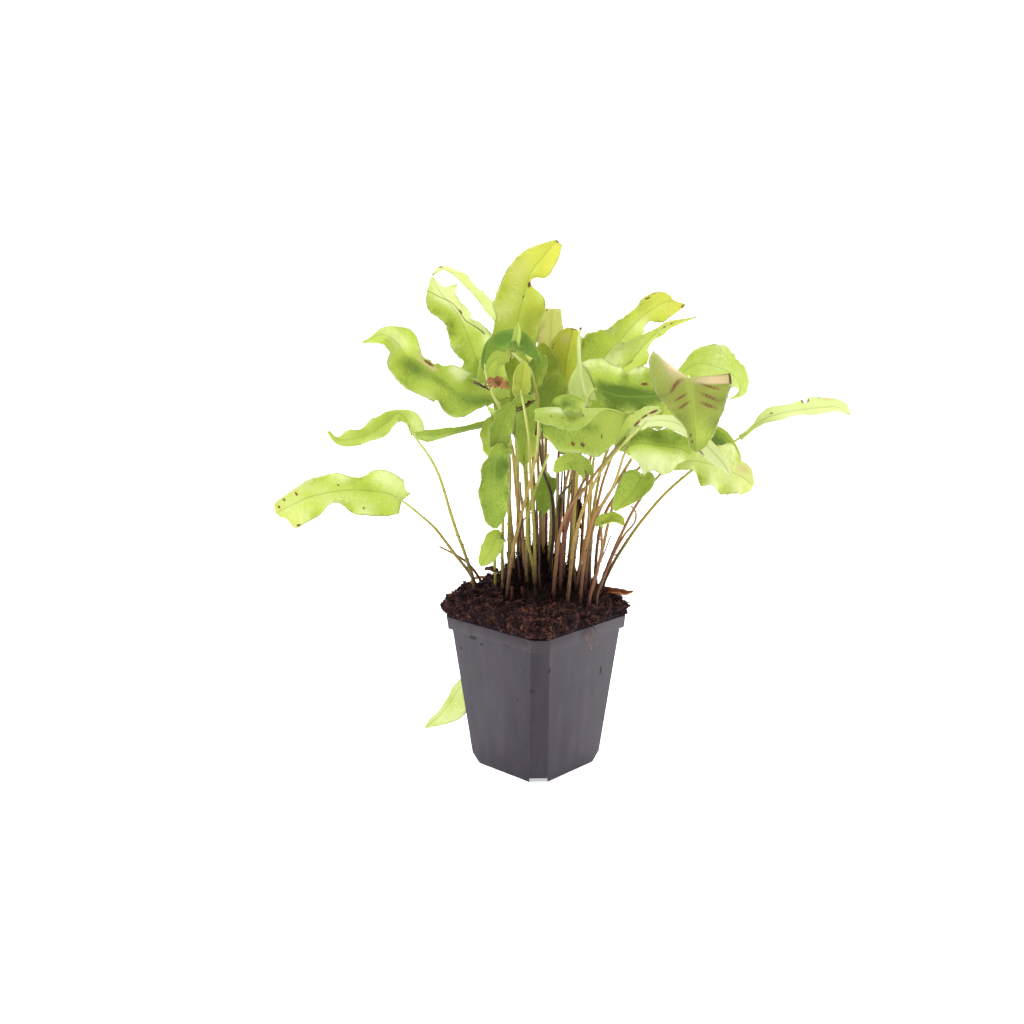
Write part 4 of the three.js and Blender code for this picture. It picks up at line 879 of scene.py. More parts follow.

# How each frond has grown and aged, and the painted shade and painted light on it. shade: 0 fresh to 1 dark,
# and paler below 0;
# it is the frond's own tone together with painted shade on fronds deep in the plant, and painted light where
# it goes below 0.
# yellow: at base and tip; tan: dry pink; rust: redness of the stalk. marks: kind, share of the length, share
# of the half width, and the size across and along in millimetres; the kinds deep and dull paint shade, pale
# and bright paint light, some also the leaf's own
# duller and paler patches. bites: share of the length, side, length in millimetres, depth.
frondLooks = {
    "frond_left_arch": {"shade": -.15, "yellow": (0, .1), "rust": .1,
        "marks": [("pale", .08, .7, 5, 7), ("dull", .5, .2, 3, 16)]},
    "frond_left_low": {"shade": -.3, "yellow": (.0, .35), "rust": .2, "marks": [
        ("brown", .8, .55, 1.3, .5), ("brown", .9, .7, 1, .6), ("brown", .95, .45, 1, .6),
        ("brown", .88, -.85, .5, 1.6), ("brown", .49, .33, .4, .5), ("brown", .29, -.67, .4, .5),
        ("pale", .12, .6, 6, 9), ("dull", .3, .2, 4, 14)],
        "bites": [(.965, -1, 2.6, .5), (.03, 1, 3, .3)]},
    "frond_left_hook": {"shade": .05, "yellow": (0, .1), "rust": .15, "marks": [
        ("tan", .5, .6, 1.8, 4), ("tan", .57, .6, 1.2, 5), ("tan", .62, .75, 1, 5),
        ("brown", .53, .66, .8, 4), ("tan", .72, .25, .5, 5), ("deep", .12, -.5, 6, 10),
        ("pale", .08, .55, 6, 8), ("deep", .6, -.2, 4, 8), ("pale", .8, .3, 6, 10), ("pale", .35, .7, 4, 8),
        ("dull", .38, -.1, 2, 14)], "bites": [(.5, 1, 3, .22), (.44, 1, 3, .15)]},
    "frond_left_folded": {"yellow": (.0, .15), "rust": .2, "marks": [
        ("bright", .9, .5, 6, 10), ("bright", .72, .6, 6, 10), ("bright", .5, .8, 4, 10),
        ("brown", .68, .3, .6, 1.6), ("dull", .7, -.6, 5, 12), ("dull", .2, -.2, 6, 10)],
        "bites": [(.8, 1, 2.5, .3), (.62, 1, 2, .22), (.9, 1, 2, .3), (.35, -1, 2.5, .2)]},
    "frond_left_thin": {"shade": -.7, "yellow": (.1, .3), "rust": .2, "marks": [
        ("brown", .91, .7, .5, 1.2), ("brown", .99, .5, .5, .9)],
        "bites": [(.5, -1, 3, .3), (.34, -1, 2.5, .3), (.2, 1, 3, .25)]},
    "frond_tallest": {"shade": -.02, "yellow": (.25, .8), "rust": .3, "marks": [
        ("brown", .56, .5, 1, 1.8), ("brown", 1, .2, 1, 1), ("brown", .45, 0, .4, 1.2),
        ("pale", .3, -.5, 6, 10), ("dull", .25, .5, 5, 10), ("pale", .65, -.5, 4, 12)],
        "bites": [(.6, 1, 4.5, .5)]},
    "frond_inner_left": {"shade": .3, "yellow": (.1, .2), "rust": .12,
        "marks": [("dull", .72, -.6, 6, 12), ("dull", .4, .4, 4, 8)]},
    "frond_inner_right": {"shade": .35, "yellow": (.2, .3), "rust": .95},
    "frond_inner_shade": {"shade": .1, "rust": .25, "tan": .1, "marks": [("dull", .3, .4, 6, 10)]},
    "frond_dark_arch": {"shade": .5, "tan": -.5, "rust": .1, "alike": .7, "marks": [
        ("deep", .45, .3, 4, 6), ("pale", .3, .95, 3, 8), ("dull", .8, .4, 6, 5), ("pale", .62, .3, 3, 2)]},
    "frond_small_oval": {"shade": .15, "yellow": (.3, .35), "rust": .1,
        "marks": [("dull", .6, .6, 3, 6), ("dull", .25, .3, 3, 3)]},
    "frond_pink": {"yellow": (.3, .3), "tan": .6, "shade": -.3, "rust": .7,
        "marks": [("tan", .6, -.8, 4, 16), ("brown", .98, -.7, .5, .6)]},
    "frond_spotted": {"yellow": (.45, .75), "rust": .9, "shade": .15, "marks": [
        ("tan", .85, -.3, 3, 3), ("spots", .7, -.3, 8, 8), ("spots", .6, -.6, 5, 8),
        ("spots", .4, -.4, 7, 6), ("spots", .2, -.7, 4, 6), ("brown", .99, .1, 2, .8)]},
    "frond_pale_back": {"shade": -.5, "yellow": (.1, .1), "rust": .3, "marks": [("brown", 1, 0, 1, 1.4)]},
    "frond_right_high": {"shade": .02, "yellow": (0, .7), "rust": .5, "marks": [
        ("brown", .83, -1, .5, 4), ("brown", .98, .55, 1.2, .9), ("brown", .75, -.8, .35, 2),
        ("pale", .6, .3, 5, 12)],
        "bites": [(.47, -1, 8, .3), (.97, -1, 7, .45), (.64, 1, 5, .15)]},
    "frond_right_slim": {"shade": -.2, "yellow": (.1, .5), "rust": .5, "marks": [
        ("brown", .72, -.1, .5, .8), ("brown", .78, -.1, .45, .7), ("brown", .66, .5, .4, .6),
        ("brown", .3, .1, .4, 3), ("brown", 1, 0, .8, .7), ("bright", .2, -.6, 4, 8)],
        "bites": [(.5, 1, 3, .25)]},
    "frond_ruffled": {"shade": .05, "rust": .2, "marks": [
        ("pale", .06, -.8, 5, 6), ("pale", .3, -.95, 2.5, 12), ("pale", .6, -.95, 2.5, 12),
        ("deep", .3, .15, 4.5, 10), ("deep", .62, .3, 5, 10), ("deep", .45, -.2, 3, 12),
        ("deep", .9, 0, 4, 5), ("deep", .35, -.15, 2, 9), ("brown", .72, -.45, .7, 2.2)]},
    "frond_right_arch": {"shade": -.15, "rust": .2, "marks": [("dull", .85, .2, 3, 6)]},
    "frond_brown_veined": {"shade": .75, "yellow": (.25, .05), "tan": .24, "rust": .3, "marks": [
        ("tan", .0, .9, 8, 5), ("tan", .06, -.6, 12, 2.5), ("brown", .03, -1, 1, 3.4),
        ("pale", .3, .05, 1.8, 18), ("slash", .17, -.5, 8.5, 1.75), ("slash", .3, -.5, 8, 1.75),
        ("slash", .43, -.5, 6.5, 1.7), ("slash", .17, .42, 7.5, 1.3), ("slash", .27, .3, 6, 1.25),
        ("slash", .38, .35, 6, 1.25), ("brown", .78, .6, .5, 1.1), ("brown", .85, .5, .5, 1.1),
        ("pale", .75, -.3, 4, 9)]},
    "frond_far_right": {"shade": -.75, "yellow": (.05, .1), "rust": .2, "marks": [
        ("brown", .595, -.75, .9, .5), ("brown", .635, -.8, .9, .5), ("tan", .8, -.85, 1.3, 4),
        ("brown", .33, -.3, .4, 1)], "bites": [(.615, -1, 1.1, .5)]},
    "frond_right_broad": {"shade": -.45, "yellow": (.0, .35), "rust": .7, "marks": [("tan", .8, -.5, 3, 4)],
        "bites": [(.3, 1, 4, .25), (.12, 1, 3, .2)]},
    "frond_right_dark": {"shade": .0, "rust": .5,
        "marks": [("deep", .3, .5, 5, 10), ("deep", .6, .6, 4, 8)]},
    "frond_middle_pale": {"shade": -1, "rust": .3, "alike": .6,
        "marks": [("bright", .9, 0, 12, 20), ("bright", .3, 0, 9, 14), ("brown", .66, .8, .5, 3)]},
    "frond_front_round": {"shade": .02, "yellow": (.0, .05), "rust": .3, "alike": .85, "marks": [
        ("brown", .4, .75, .35, 1.3), ("brown", .52, .75, .35, 1.5), ("brown", .74, .55, .7, .8),
        ("slash", .2, -.5, 2.4, .9), ("slash", .31, -.5, 2.4, .9), ("slash", .42, -.5, 2.4, .9),
        ("slash", .52, -.45, 2, .9), ("dull", .3, .8, 4, 6), ("dull", .6, .4, 3, 5),
        ("deep", .3, .42, 1.5, 9), ("bright", .3, -.2, 2, 9)]},
    "frond_striped": {"shade": -.25, "yellow": (.1, .1), "rust": .7, "marks": [
        ("brown", .52, .2, .9, 2.6), ("brown", .7, .1, .8, 2), ("brown", .86, .2, .9, 2.8)]},
    "frond_middle_fold": {"shade": -.1, "rust": .6, "marks": [
        ("deep", .62, -.5, 5, 12), ("dull", .2, -.6, 4, 6), ("bright", .45, .8, 8, 20)]},
    "frond_hanging_right": {"shade": .2, "rust": .4},
    "frond_small_curl": {"yellow": (.2, .2), "rust": .8},
    "frond_hanging_left": {"shade": .45, "rust": .12,
        "marks": [("deep", .35, -.5, 4, 6), ("pale", .08, .3, 5, 5)]},
    "frond_small_left": {"yellow": (.05, .1), "rust": .1},
    "frond_narrow_middle": {"shade": .2, "rust": .1},
    "frond_lower_middle": {"shade": .1, "rust": .95},
    "frond_inner_dark": {"shade": .5, "rust": .2},
    "frond_left_flat": {"shade": .3, "rust": .3},
    "frond_low_back": {"shade": -.45, "yellow": (.05, .15), "rust": .5},
    "frond_back_high": {"yellow": (.05, .4), "rust": .4, "marks": [("dash", .5, .4, 4, 9)]},
    "frond_back_left": {"shade": .3, "rust": .5, "marks": [("brown", .97, .2, 2, 1.4)]},
    "frond_back_right": {"yellow": (0, .3), "rust": .5, "bites": [(.6, 1, 4, .35)]},
    "frond_back_low": {"shade": .5, "rust": .7},
    "frond_back_far": {"yellow": (.2, .6), "rust": .4, "marks": [("tan", .7, .7, 3, 7)]},
    "frond_back_side": {"shade": .15, "rust": .6, "marks": [("dash", .4, -.4, 4, 8)]},
}

plantTurn = math.radians(42.1)  # how far the plant is turned in its pot


def turned(points):
    c, s = math.cos(plantTurn), math.sin(plantTurn)
    return points @ np.array([[c, s, 0], [-s, c, 0], [0, 0, 1]])


# evenly spaced points on the smooth curve through the given ones, between two of them
def smoothPath(points, first, last, steps):
    knots = np.array(points, float)
    knots = np.vstack([2 * knots[0] - knots[1], knots, 2 * knots[-1] - knots[-2]])
    fine = []
    for u in np.linspace(first, last, math.ceil(60 * (last - first)) + 1):
        i = min(int(u), len(points) - 2)
        w = u - i
        a, b, c, d = knots[i:i + 4]
        fine.append((2 * b + (c - a) * w + (2 * a - 5 * b + 4 * c - d) * w ** 2
                     + (3 * b - a - 3 * c + d) * w ** 3) / 2)
    fine = np.array(fine)
    reach = np.concatenate([[0], np.cumsum(np.linalg.norm(np.diff(fine, axis=0), axis=1))])
    even = np.linspace(0, reach[-1], steps + 1)
    return np.column_stack([np.interp(even, reach, fine[:, k]) for k in range(3)]), reach[-1]


def unit(vectors):
    return vectors / np.linalg.norm(vectors, axis=1)[:, None]


def stalkLine(path, last, seed):
    _, length = smoothPath(path, 0, last, 1)
    points, _ = smoothPath(path, 0, last, max(8, round(length / 3)))
    pick = random.Random(seed)
    t = np.linspace(0, 1, len(points))
    for axis in (0, 1):  # no stalk is quite straight
        for waves in (2, 5):
            beat = np.sin(2 * math.pi * (waves * t + pick.random()))
            points[:, axis] += bladeRule["sway"] / waves * beat * np.sin(math.pi * t)
    return points


# numbers given at even steps along the blade, read off row by row on a smooth curve
def spread(values, rows):
    places = np.linspace(0, len(values) - 1, rows + 1)
    low = np.minimum(places.astype(int), len(values) - 2)
    w = places - low
    knots = np.concatenate([[2 * values[0] - values[1]], values, [2 * values[-1] - values[-2]]])
    a, b, c, d = (knots[low + k] for k in range(4))
    curve = 2 * b + (c - a) * w + (2 * a - 5 * b + 4 * c - d) * w ** 2
    return (curve + (3 * b - a - 3 * c + d) * w ** 3) / 2


# half widths on the right and the left, in millimetres
def bladeEdges(frond, rows, length, bites):
    t = np.linspace(0, 1, rows + 1)
    sides = []
    for side, column in ((1, 0), (-1, 1)):
        if "edges" in frond:
            half = spread(np.array(frond["edges"][column], float), rows)
        else:
            ends = (frond.get(k, bladeRule[k]) for k in ("base", "tip", "peak"))
            half = frond["width"] / 2 * plainOutline(t, *ends)
            beat = frond["waves"] * t + frond["phase"] + bladeRule["sideShift"] * (side > 0)
            half = half * (1 + bladeRule["scallop"] * np.sin(2 * math.pi * bladeRule["scallopRate"] * beat))
        for place, where, long, depth in bites:
            if where == side:
                half = half * (1 - depth * np.clip(1 - ((t - place) * length / long) ** 2, 0, 1) ** 0.45)
        if "blunt" in frond:  # millimetres of rounding at the tip
            near = np.clip(1 - (1 - t) * length / frond["blunt"], 0, 1)
            half = half * np.sqrt(np.clip(1 - near ** 2, 0.01, 1))
        sides.append(np.maximum(half, bladeRule["least"]))
    return np.column_stack([*sides, 0 * t])


# marks that raise or lower the blade's shade: deep and dull paint shade, pale and bright paint light, and
# some of them also give the leaf's own duller and paler patches
shadeLightAndToneMarks = {"deep": 0.75, "dull": 0.4, "pale": -0.5, "bright": -0.9}

markRule = {
    "spots": 26,  # dots in one spotted patch
    "spot": (0.6, 1.1),  # radius of a dot, millimetres
    "fade": 0.7,
    "slashForce": 0.62,
    "spotForce": 0.5,
}


def paintBlade(mesh, look, seed):
    share, spot = readField(mesh, "leafShare"), readField(mesh, "leafSpot")
    bend = readField(mesh, "leafBend")[:, 0]
    t, s, under = share.T
    low, high = look.get("yellow", (0, 0))
    # shade: the frond's own shade, plus painted shade that darkens the blade towards its base, deep in the
    # plant, and in the troughs of its ripples, and painted light on the ripples' crests (bend, flipped on
    # the underside)
    shade = look.get("shade", 0.0) + 0.25 * (1 - t) ** 2 - 0.17 * bend * (1 - 2 * under)
    tint = np.column_stack([low + (high - low) * t ** 1.4, np.full(len(t), look.get("tan", 0.0)), shade])
    marks = np.column_stack([np.zeros(len(t)), np.zeros(len(t)), under * (1 - look.get("alike", 0))])
    pick = random.Random(seed)
    places = []
    for kind, along, aside, wide, long in look.get("marks", []):
        at = spot[np.argmin((t - along) ** 2 + 0.1 * (s - aside) ** 2 + (under > 0.5))]
        if kind == "spots":
            for _ in range(markRule["spots"]):
                shift = (pick.uniform(-wide, wide), pick.uniform(-long, long), 0)
                size = pick.uniform(*markRule["spot"])
                places.append(("spot", at + shift, size, size))
        else:
            places.append((kind, at, wide, long))
    for kind, at, wide, long in places:
        away = ((spot[:, 0] - at[0]) / wide) ** 2 + ((spot[:, 1] - at[1]) / long) ** 2
        force = np.exp(-markRule["fade"] * away)
        if kind in shadeLightAndToneMarks:
            tint[:, 2] += force * shadeLightAndToneMarks[kind]
            continue
        if kind == "slash":  # wide along the side vein, long across it
            climb = bladeRule["slashSlant"] * (abs(spot[:, 0]) - abs(at[0]))
            away = ((spot[:, 0] - at[0]) / wide) ** 2 + ((spot[:, 1] - at[1] - climb) / long) ** 2
            force = markRule["slashForce"] * np.exp(-markRule["fade"] * away)
        if kind == "spot":
            force = markRule["spotForce"] * force
        target = {"tan": (tint, 1), "dash": (marks, 1)}.get(kind, (marks, 0))
        target[0][:, target[1]] = np.maximum(target[0][:, target[1]], force)
    keepField(mesh, "leafTint", tint)
    keepField(mesh, "leafMarks", marks)


def growBlade(name, frond, look, seed, blade, stalk):
    first, second = (np.array(frond["rib"][k], float) for k in (0, 1))
    back = (first - second) / np.linalg.norm(first - second)
    low = frond.get("stalk", [list(first + 3 * back), list(first + 1.5 * back)])
    path, foot = low + frond["rib"], len(low)
    _, length = smoothPath(path, foot, len(path) - 1, 1)
    rows = max(16, round(length / bladeRule["rowStep"]))
    rib, _ = smoothPath(path, foot, len(path) - 1, rows)
    stem = stalkLine(path, foot + 0.35, seed)
    along = unit(np.gradient(rib, axis=0))
    faces = np.array(frond["face"], float)
    places = np.linspace(0, 1, rows + 1) * (len(faces) - 1)
    facing = np.column_stack([np.interp(places, range(len(faces)), faces[:, k]) for k in range(3)])
    facing = unit(facing - along * (facing * along).sum(axis=1)[:, None])
    fill = np.zeros((len(stem), 3))
    line = lineMesh(name + "Line", [turned(stem) * mm, turned(rib) * mm], {
        "along": np.vstack([fill, turned(along)]),
        "facing": np.vstack([fill, turned(facing)]),
        "edge": np.vstack([fill, bladeEdges(frond, rows, length, look.get("bites", [])) * mm]),
        "fold": np.vstack([fill, np.full((rows + 1, 3), float(frond["fold"]))]),
    })
    lobes = frond.get("lobes", bladeRule["lobes"])
    leaf = grow(name, frondTree, line, {
        "Stalk Points": len(stem), "Rows": rows, "Columns": bladeRule["columns"],
        "Length": length * mm, "Curl Right": frond["curl"][0], "Curl Left": frond["curl"][1],
        "Wave": frond["wave"] * mm, "Waves": float(frond["waves"]), "Phase": float(frond["phase"]),
        "Ragged": bladeRule["ragged"], "Frill": frond.get("frill", bladeRule["frill"]) * mm,
        "Lobe Right": lobes[0], "Lobe Left": lobes[1],
        "Thickness": bladeRule["thickness"] * mm, "Rib Depth": bladeRule["ribDepth"] * mm,
        "Stalk Foot": bladeRule["stalkFoot" if "stalk" in frond else "stub"] * mm,
        "Stalk Head": bladeRule["stalkHead" if "stalk" in frond else "stub"] * mm,
        "Scales": bladeRule["scales"], "Rust": float(look.get("rust", 0.4)), "Seed": seed,
        "Blade Material": blade, "Stalk Material": stalk,
    })
    paintBlade(leaf.data, look, seed)
    return leaf


def growPlant():
    for seed, (node, frond) in enumerate(fronds.items()):
        name = node.replace("frond_", "leaf.").replace("stalk_", "stalk.")
        if "rib" in frond:
            piece = growBlade(name, frond, frondLooks.get(node, {}), seed, leafGreen, stalkSkin)
        else:
            stem = stalkLine(frond["stalk"], len(frond["stalk"]) - 1, seed)
            piece = grow(name, stalkTree, lineMesh(name, [turned(stem) * mm], {}), {
                "Foot Radius": bladeRule["bareFoot"] * mm, "Head Radius": bladeRule["bareHead"] * mm,
                "Sides": 7, "Scales": bladeRule["bareScales"],
                "Rust": 0.8, "Seed": seed, "Material": stalkSkin})
        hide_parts(node)
        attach(piece, "root")


growPlant()
print("fronds grown,", len(fronds))

# Dead stems between the green ones: radius at the foot and the head, redness and path.
deadStems = {
    "darkTall": (1.1, .8, 1, [[6, -10, 112], [10.5, -12, 148], [11, -14, 166], [9, -15, 182], [4, -16, 197],
        [2, -16, 212], [1.5, -16, 226]]),
    "darkBent": (1.0, .6, 1, [[16.5, -8, 112], [15, -12, 145], [14, -16, 176], [17, -17, 183],
        [22.5, -18, 190], [25, -18, 199]]),
    "curled": (.6, .35, 1, [[-9, -14, 115], [-11.5, -15, 145], [-9.5, -16, 161], [-6, -17, 167],
        [-2, -17, 170], [1, -18, 167], [-.5, -18, 162]]),
    "brownLeft": (1.0, .7, .6, [[-4, -12, 112], [-8, -14, 148], [-11, -16, 174], [-12, -18, 193],
        [-15, -18, 212]]),
    "brownRight": (1.1, .7, .55, [[24, -16, 112], [27.5, -18, 136], [32, -20, 159], [32.5, -20, 178],
        [34, -20, 196]]),
    "rustMiddle": (1.2, .8, .9, [[10, -16, 112], [12.5, -18, 136], [19.5, -20, 162], [23, -22, 188],
        [22, -22, 207]]),
    "oliveSlant": (1.2, .8, .15, [[.5, -18, 112], [-2, -20, 137], [-6, -22, 156], [-3.5, -24, 176],
        [2.5, -25, 195], [7.5, -26, 208]]),
    "dryRight": (.7, .4, 1, [[34, -14, 112], [40, -16, 136], [43.5, -17, 146], [47, -18, 156]]),
    "blackTip": (.3, 1.1, 1, [[-28, -36, 248], [-30, -38, 249.5], [-33.5, -39, 251.5], [-37.5, -39, 253.5]]),
    "driedEdge": (.26, .12, .8, [[-30.5, 0, 277], [-35, -2, 281.5], [-40, -3, 285], [-44, -3, 287.5],
        [-47.5, -4, 292.5], [-52, -4, 298], [-59, -3, 301.5], [-68, -3, 306], [-75, -2, 310]]),
    "curlTip": (.25, .15, 1, [[24.5, -19, 280], [27, -19, 279], [29, -19, 281], [29.5, -19, 283.5]]),
    "paleSlant": (.7, .9, .0, [[-.5, -34, 221], [1, -38, 234.5], [.5, -39, 244.5], [-1.5, -40, 252.5],
        [-3.5, -40, 260], [-8, -40, 265], [-14.5, -40, 271]]),
    "rimRoot": (.3, .15, .8, [[33, -30, 99], [35, -32, 94.5], [33.5, -31.7, 90], [35, -31, 84.5]]),
    "rimRootUpper": (.3, .15, .8, [[35.5, -28, 99.5], [38.5, -30, 95.5], [39, -29, 91.5], [38, -28.6, 87]]),
    "rimRootShort": (.3, .2, .8, [[30, -32.5, 99], [31, -35, 94.5], [32.5, -34, 91.5]]),
}

# Curled scraps of dead leaf, laid out like the fronds.
scraps = {
    "scrapOrange": {
        "rib": [[-28, -37, 251.5], [-25.5, -39, 253], [-22.5, -37, 252], [-19.5, -39.5, 251.5],
            [-16.5, -38, 250]],
        "face": [[.3, -.9, .3], [-.4, -.8, .4], [.4, -.8, .3]], "width": 13, "fold": .3, "curl": [1, .9],
        "wave": 2, "waves": 3, "phase": 0, "frill": 9,
        "edges": [[2, 5, 2, 6, 1.5, 5, 2, 6.5, 2, 5, 1.5, 4, .6],
            [4, 2, 5.5, 3, 6, 2, 5, 3, 6, 2, 4, 2, .6]]},
    "scrapDark": {
        "rib": [[-11, -33, 236], [-7.5, -34.5, 238], [-4, -34, 240], [-.5, -35.5, 242]],
        "face": [[.2, -.9, .4], [-.3, -.8, .5]], "width": 8, "fold": .3, "curl": [1.2, 1], "wave": 1.5,
        "waves": 2,
        "phase": 0, "frill": 3,
        "edges": [[1, 1.8, 2.6, 1.6, 1.2, 2.4, 3.2, 2, 1.2, 1.6, 1, .8, .5],
            [1, 1.6, 1.2, 1.6, 2.6, 2, 1.2, 1.6, 2.4, 1.4, 1, .8, .5]]},
    "tatterMiddle": {
        "rib": [[21.5, -12, 185], [23.5, -14, 179], [26, -15, 172.5], [25.5, -14, 165], [28, -13, 158]],
        "face": [[.3, -.9, .3]], "width": 9, "fold": .6, "curl": [1.2, 1.4], "wave": 1.6, "waves": 3,
        "phase": 0, "frill": 7},
    "scrapRight": {
        "rib": [[45, -2, 113.5], [49, -4, 114.5], [54.5, -5, 114], [58.5, -6, 114], [63, -6, 116]],
        "face": [[0, -.6, .8]], "width": 8, "fold": .6, "curl": [1, 1], "wave": 1.2, "waves": 2, "phase": 0,
        "frill": 5},
    "scrapLeft": {
        "rib": [[-25, -8, 128.5], [-27.5, -9, 130], [-30.5, -10, 131], [-33, -10, 130.5]],
        "face": [[0, -.6, .8]], "width": 6, "fold": .6, "curl": [1, 1], "wave": 1, "waves": 2, "phase": 0,
        "frill": 5},
}

# Small leaves and torn parts that belong to no stalk that can be followed, laid out in the same way.
looseLeaves = {
    "looseEar": {
        "rib": [[9, -57, 239.5], [10.5, -58.5, 244.5], [14.5, -59.5, 247], [20, -60, 247.5],
            [25, -60, 245.5], [28.5, -59.5, 243.5], [29.5, -59, 240]],
        "face": [[0, -.95, .3]], "width": 12, "fold": .1, "curl": [1.05, .2], "wave": .8, "waves": 2,
        "phase": 0,
        "frill": 1.8, "lobes": [0, 0],
        "edges": [[2, 7, 11, 13, 13.5, 13.5, 13, 13, 12.5, 11, 8.5, 5, 2],
            [1, 1, 1, 1, 1, 1, 1, 1, 1, 1, 1, 1, .8]]},
    "looseLeft": {
        "rib": [[-22, -20, 205], [-24, -21, 211], [-26, -20, 218], [-27, -18, 224], [-27, -15, 230]],
        "face": [[0, -.95, .2]], "width": 18, "fold": .1, "curl": [.3, .3], "wave": 1.4, "waves": 2,
        "phase": .2},
    "looseBand": {
        "rib": [[-31, -22, 251.5], [-29.5, -22, 259.5], [-26, -22, 265], [-20, -22, 266.5], [-14, -22, 267]],
        "face": [[0, -.9, .4]], "width": 13, "fold": .1, "curl": [.4, .3], "wave": .8, "waves": 2,
        "phase": 0},
    "looseGrey": {
        "rib": [[-5.5, -20, 247.5], [-2.5, -21, 255.5], [1, -21, 261.5], [5.5, -20, 267.5]],
        "face": [[.1, -.95, .2]], "width": 14, "fold": .1, "curl": [.3, .3], "wave": 1, "waves": 2,
        "phase": .5},
    "looseTip": {
        "rib": [[-15, -38, 269], [-13, -38.5, 276], [-11.5, -39, 282.5], [-11.5, -39, 288.5]],
        "face": [[0, -.95, .2]], "width": 5.5, "fold": .2, "curl": [.3, .3], "wave": .4, "waves": 1,
        "phase": 0,
        "frill": .8, "lobes": [0, 0], "base": .9, "tip": .05},
    "looseMiddle": {
        "rib": [[6.5, -18, 232], [9, -18, 240], [11.5, -17, 248], [14, -16, 256.5]],
        "face": [[0, -.95, .3]], "width": 17, "fold": .1, "curl": [.3, .3], "wave": 1.2, "waves": 2,
        "phase": .3},
    "looseCentre": {
        "rib": [[-24, -30, 214], [-22, -32, 223.5], [-18.5, -33, 233], [-14, -32, 241]],
        "face": [[.2, -.95, .2]], "width": 15, "fold": .2, "curl": [.4, .4], "wave": 1.4, "waves": 2,
        "phase": .1},
}

looseLooks = {
    "looseEar": {"shade": .2, "alike": .8, "marks": [("deep", .4, .45, 3, 5), ("bright", .3, .95, 1.5, 6),
        ("bright", .9, .6, 4, 3), ("brown", .65, .95, .4, 2)]},
    "looseLeft": {"shade": -.1, "yellow": (.05, .1), "marks": [("pale", .3, .3, 4, 6)]},
    "looseBand": {"shade": .05, "yellow": (.1, .1)},
    "looseGrey": {"shade": .5, "marks": [("pale", .4, .9, 2, 8)]},
    "looseTip": {"shade": -.1},
    "looseMiddle": {"shade": .45, "yellow": (.0, .15)},
    "looseCentre": {"shade": .3},
}

scrapFinish = {
    **leafFinish,
    "deep": (0.028, 0.010, 0.009, 1),
    "middle": (0.12, 0.038, 0.016, 1),
    "fresh": (0.46, 0.20, 0.08, 1),
    "pale": (0.48, 0.24, 0.12, 1),
    "underside": (0.36, 0.14, 0.06, 1),
    "glow": (0.45, 0.17, 0.06, 1),
    "through": 0.2,
}


deadFinish = {
    **stalkFinish,
    "foot": (0.020, 0.008, 0.007, 1),
    "rust": (0.040, 0.014, 0.010, 1),
    "straw": (0.11, 0.045, 0.022, 1),
}

straySize = {
    "seed": 4,
    "counts": [(0.3, 5), (0.8, 6), (1.0, 6)],  # redness, number
    "middle": (6, -5),
    "foot": 110.0,
    "scales": 30000.0,
    "wide": 26, "deep": 17, "rise": (62, 100),
    "sway": (3, 2),
    "spread": 0.28,
    "radius": (1.0, 0.55),
}


def growDead():
    dead = makeStalk("deadSkin", deadFinish)
    for seed, (name, (foot, head, rust, path)) in enumerate(deadStems.items()):
        stem = stalkLine(path, len(path) - 1, seed + 70)
        piece = grow(name, stalkTree, lineMesh(name, [turned(stem) * mm], {}), {
            "Foot Radius": foot * mm, "Head Radius": head * mm, "Sides": 6,
            "Scales": straySize["scales"] * (foot > 0.5),
            "Rust": float(rust), "Seed": seed, "Material": dead if rust == 1 else stalkSkin})
        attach(piece, "root")
    brown = makeLeaf("scrapBrown", scrapFinish, scrapFinish["glow"])
    for seed, (name, scrap) in enumerate(scraps.items()):
        look = {"shade": {"scrapOrange": 0.0, "scrapRight": 0.1}.get(name, 0.8)}
        piece = growBlade(name, scrap, look, seed + 90, brown, stalkSkin)
        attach(piece, "root")
    for seed, (name, leaf) in enumerate(looseLeaves.items()):
        piece = growBlade(name, leaf, looseLooks[name], seed + 110, leafGreen, stalkSkin)
        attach(piece, "root")
    # old stems broken off under the leaves, all round the crown
    s, pick = straySize, random.Random(straySize["seed"])
    for rust, count in s["counts"]:
        chains = []
        for _ in range(count):
            turn, far = pick.uniform(0, 2 * math.pi), pick.uniform(0.2, 1)
            foot = np.array([s["middle"][0] + s["wide"] * far * math.cos(turn),
                             s["middle"][1] + s["deep"] * far * math.sin(turn), s["foot"]])
            rise = pick.uniform(*s["rise"])
            lean = np.array([(foot[0] - s["middle"][0]) * s["spread"],
                (foot[1] - s["middle"][1]) * s["spread"], rise])
            sway = np.array([pick.uniform(-d, d) for d in s["sway"]] + [0.0])
            path = [foot, foot + 0.3 * lean * (.6, .6, 1) + sway, foot + 0.65 * lean + sway, foot + lean]
            chains.append(turned(stalkLine([list(p) for p in path], 3, pick.random())) * mm)
        name = "strayStems%d" % round(rust * 10)
        piece = grow(name, stalkTree, lineMesh(name, chains, {}), {
            "Foot Radius": s["radius"][0] * mm, "Head Radius": s["radius"][1] * mm, "Sides": 6,
            "Scales": s["scales"], "Rust": float(rust), "Seed": 5,
            "Material": dead if rust == 1 else stalkSkin})
        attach(piece, "root")


growDead()
print("dead stems and loose leaves grown,", len(deadStems) + len(scraps) + len(looseLeaves))


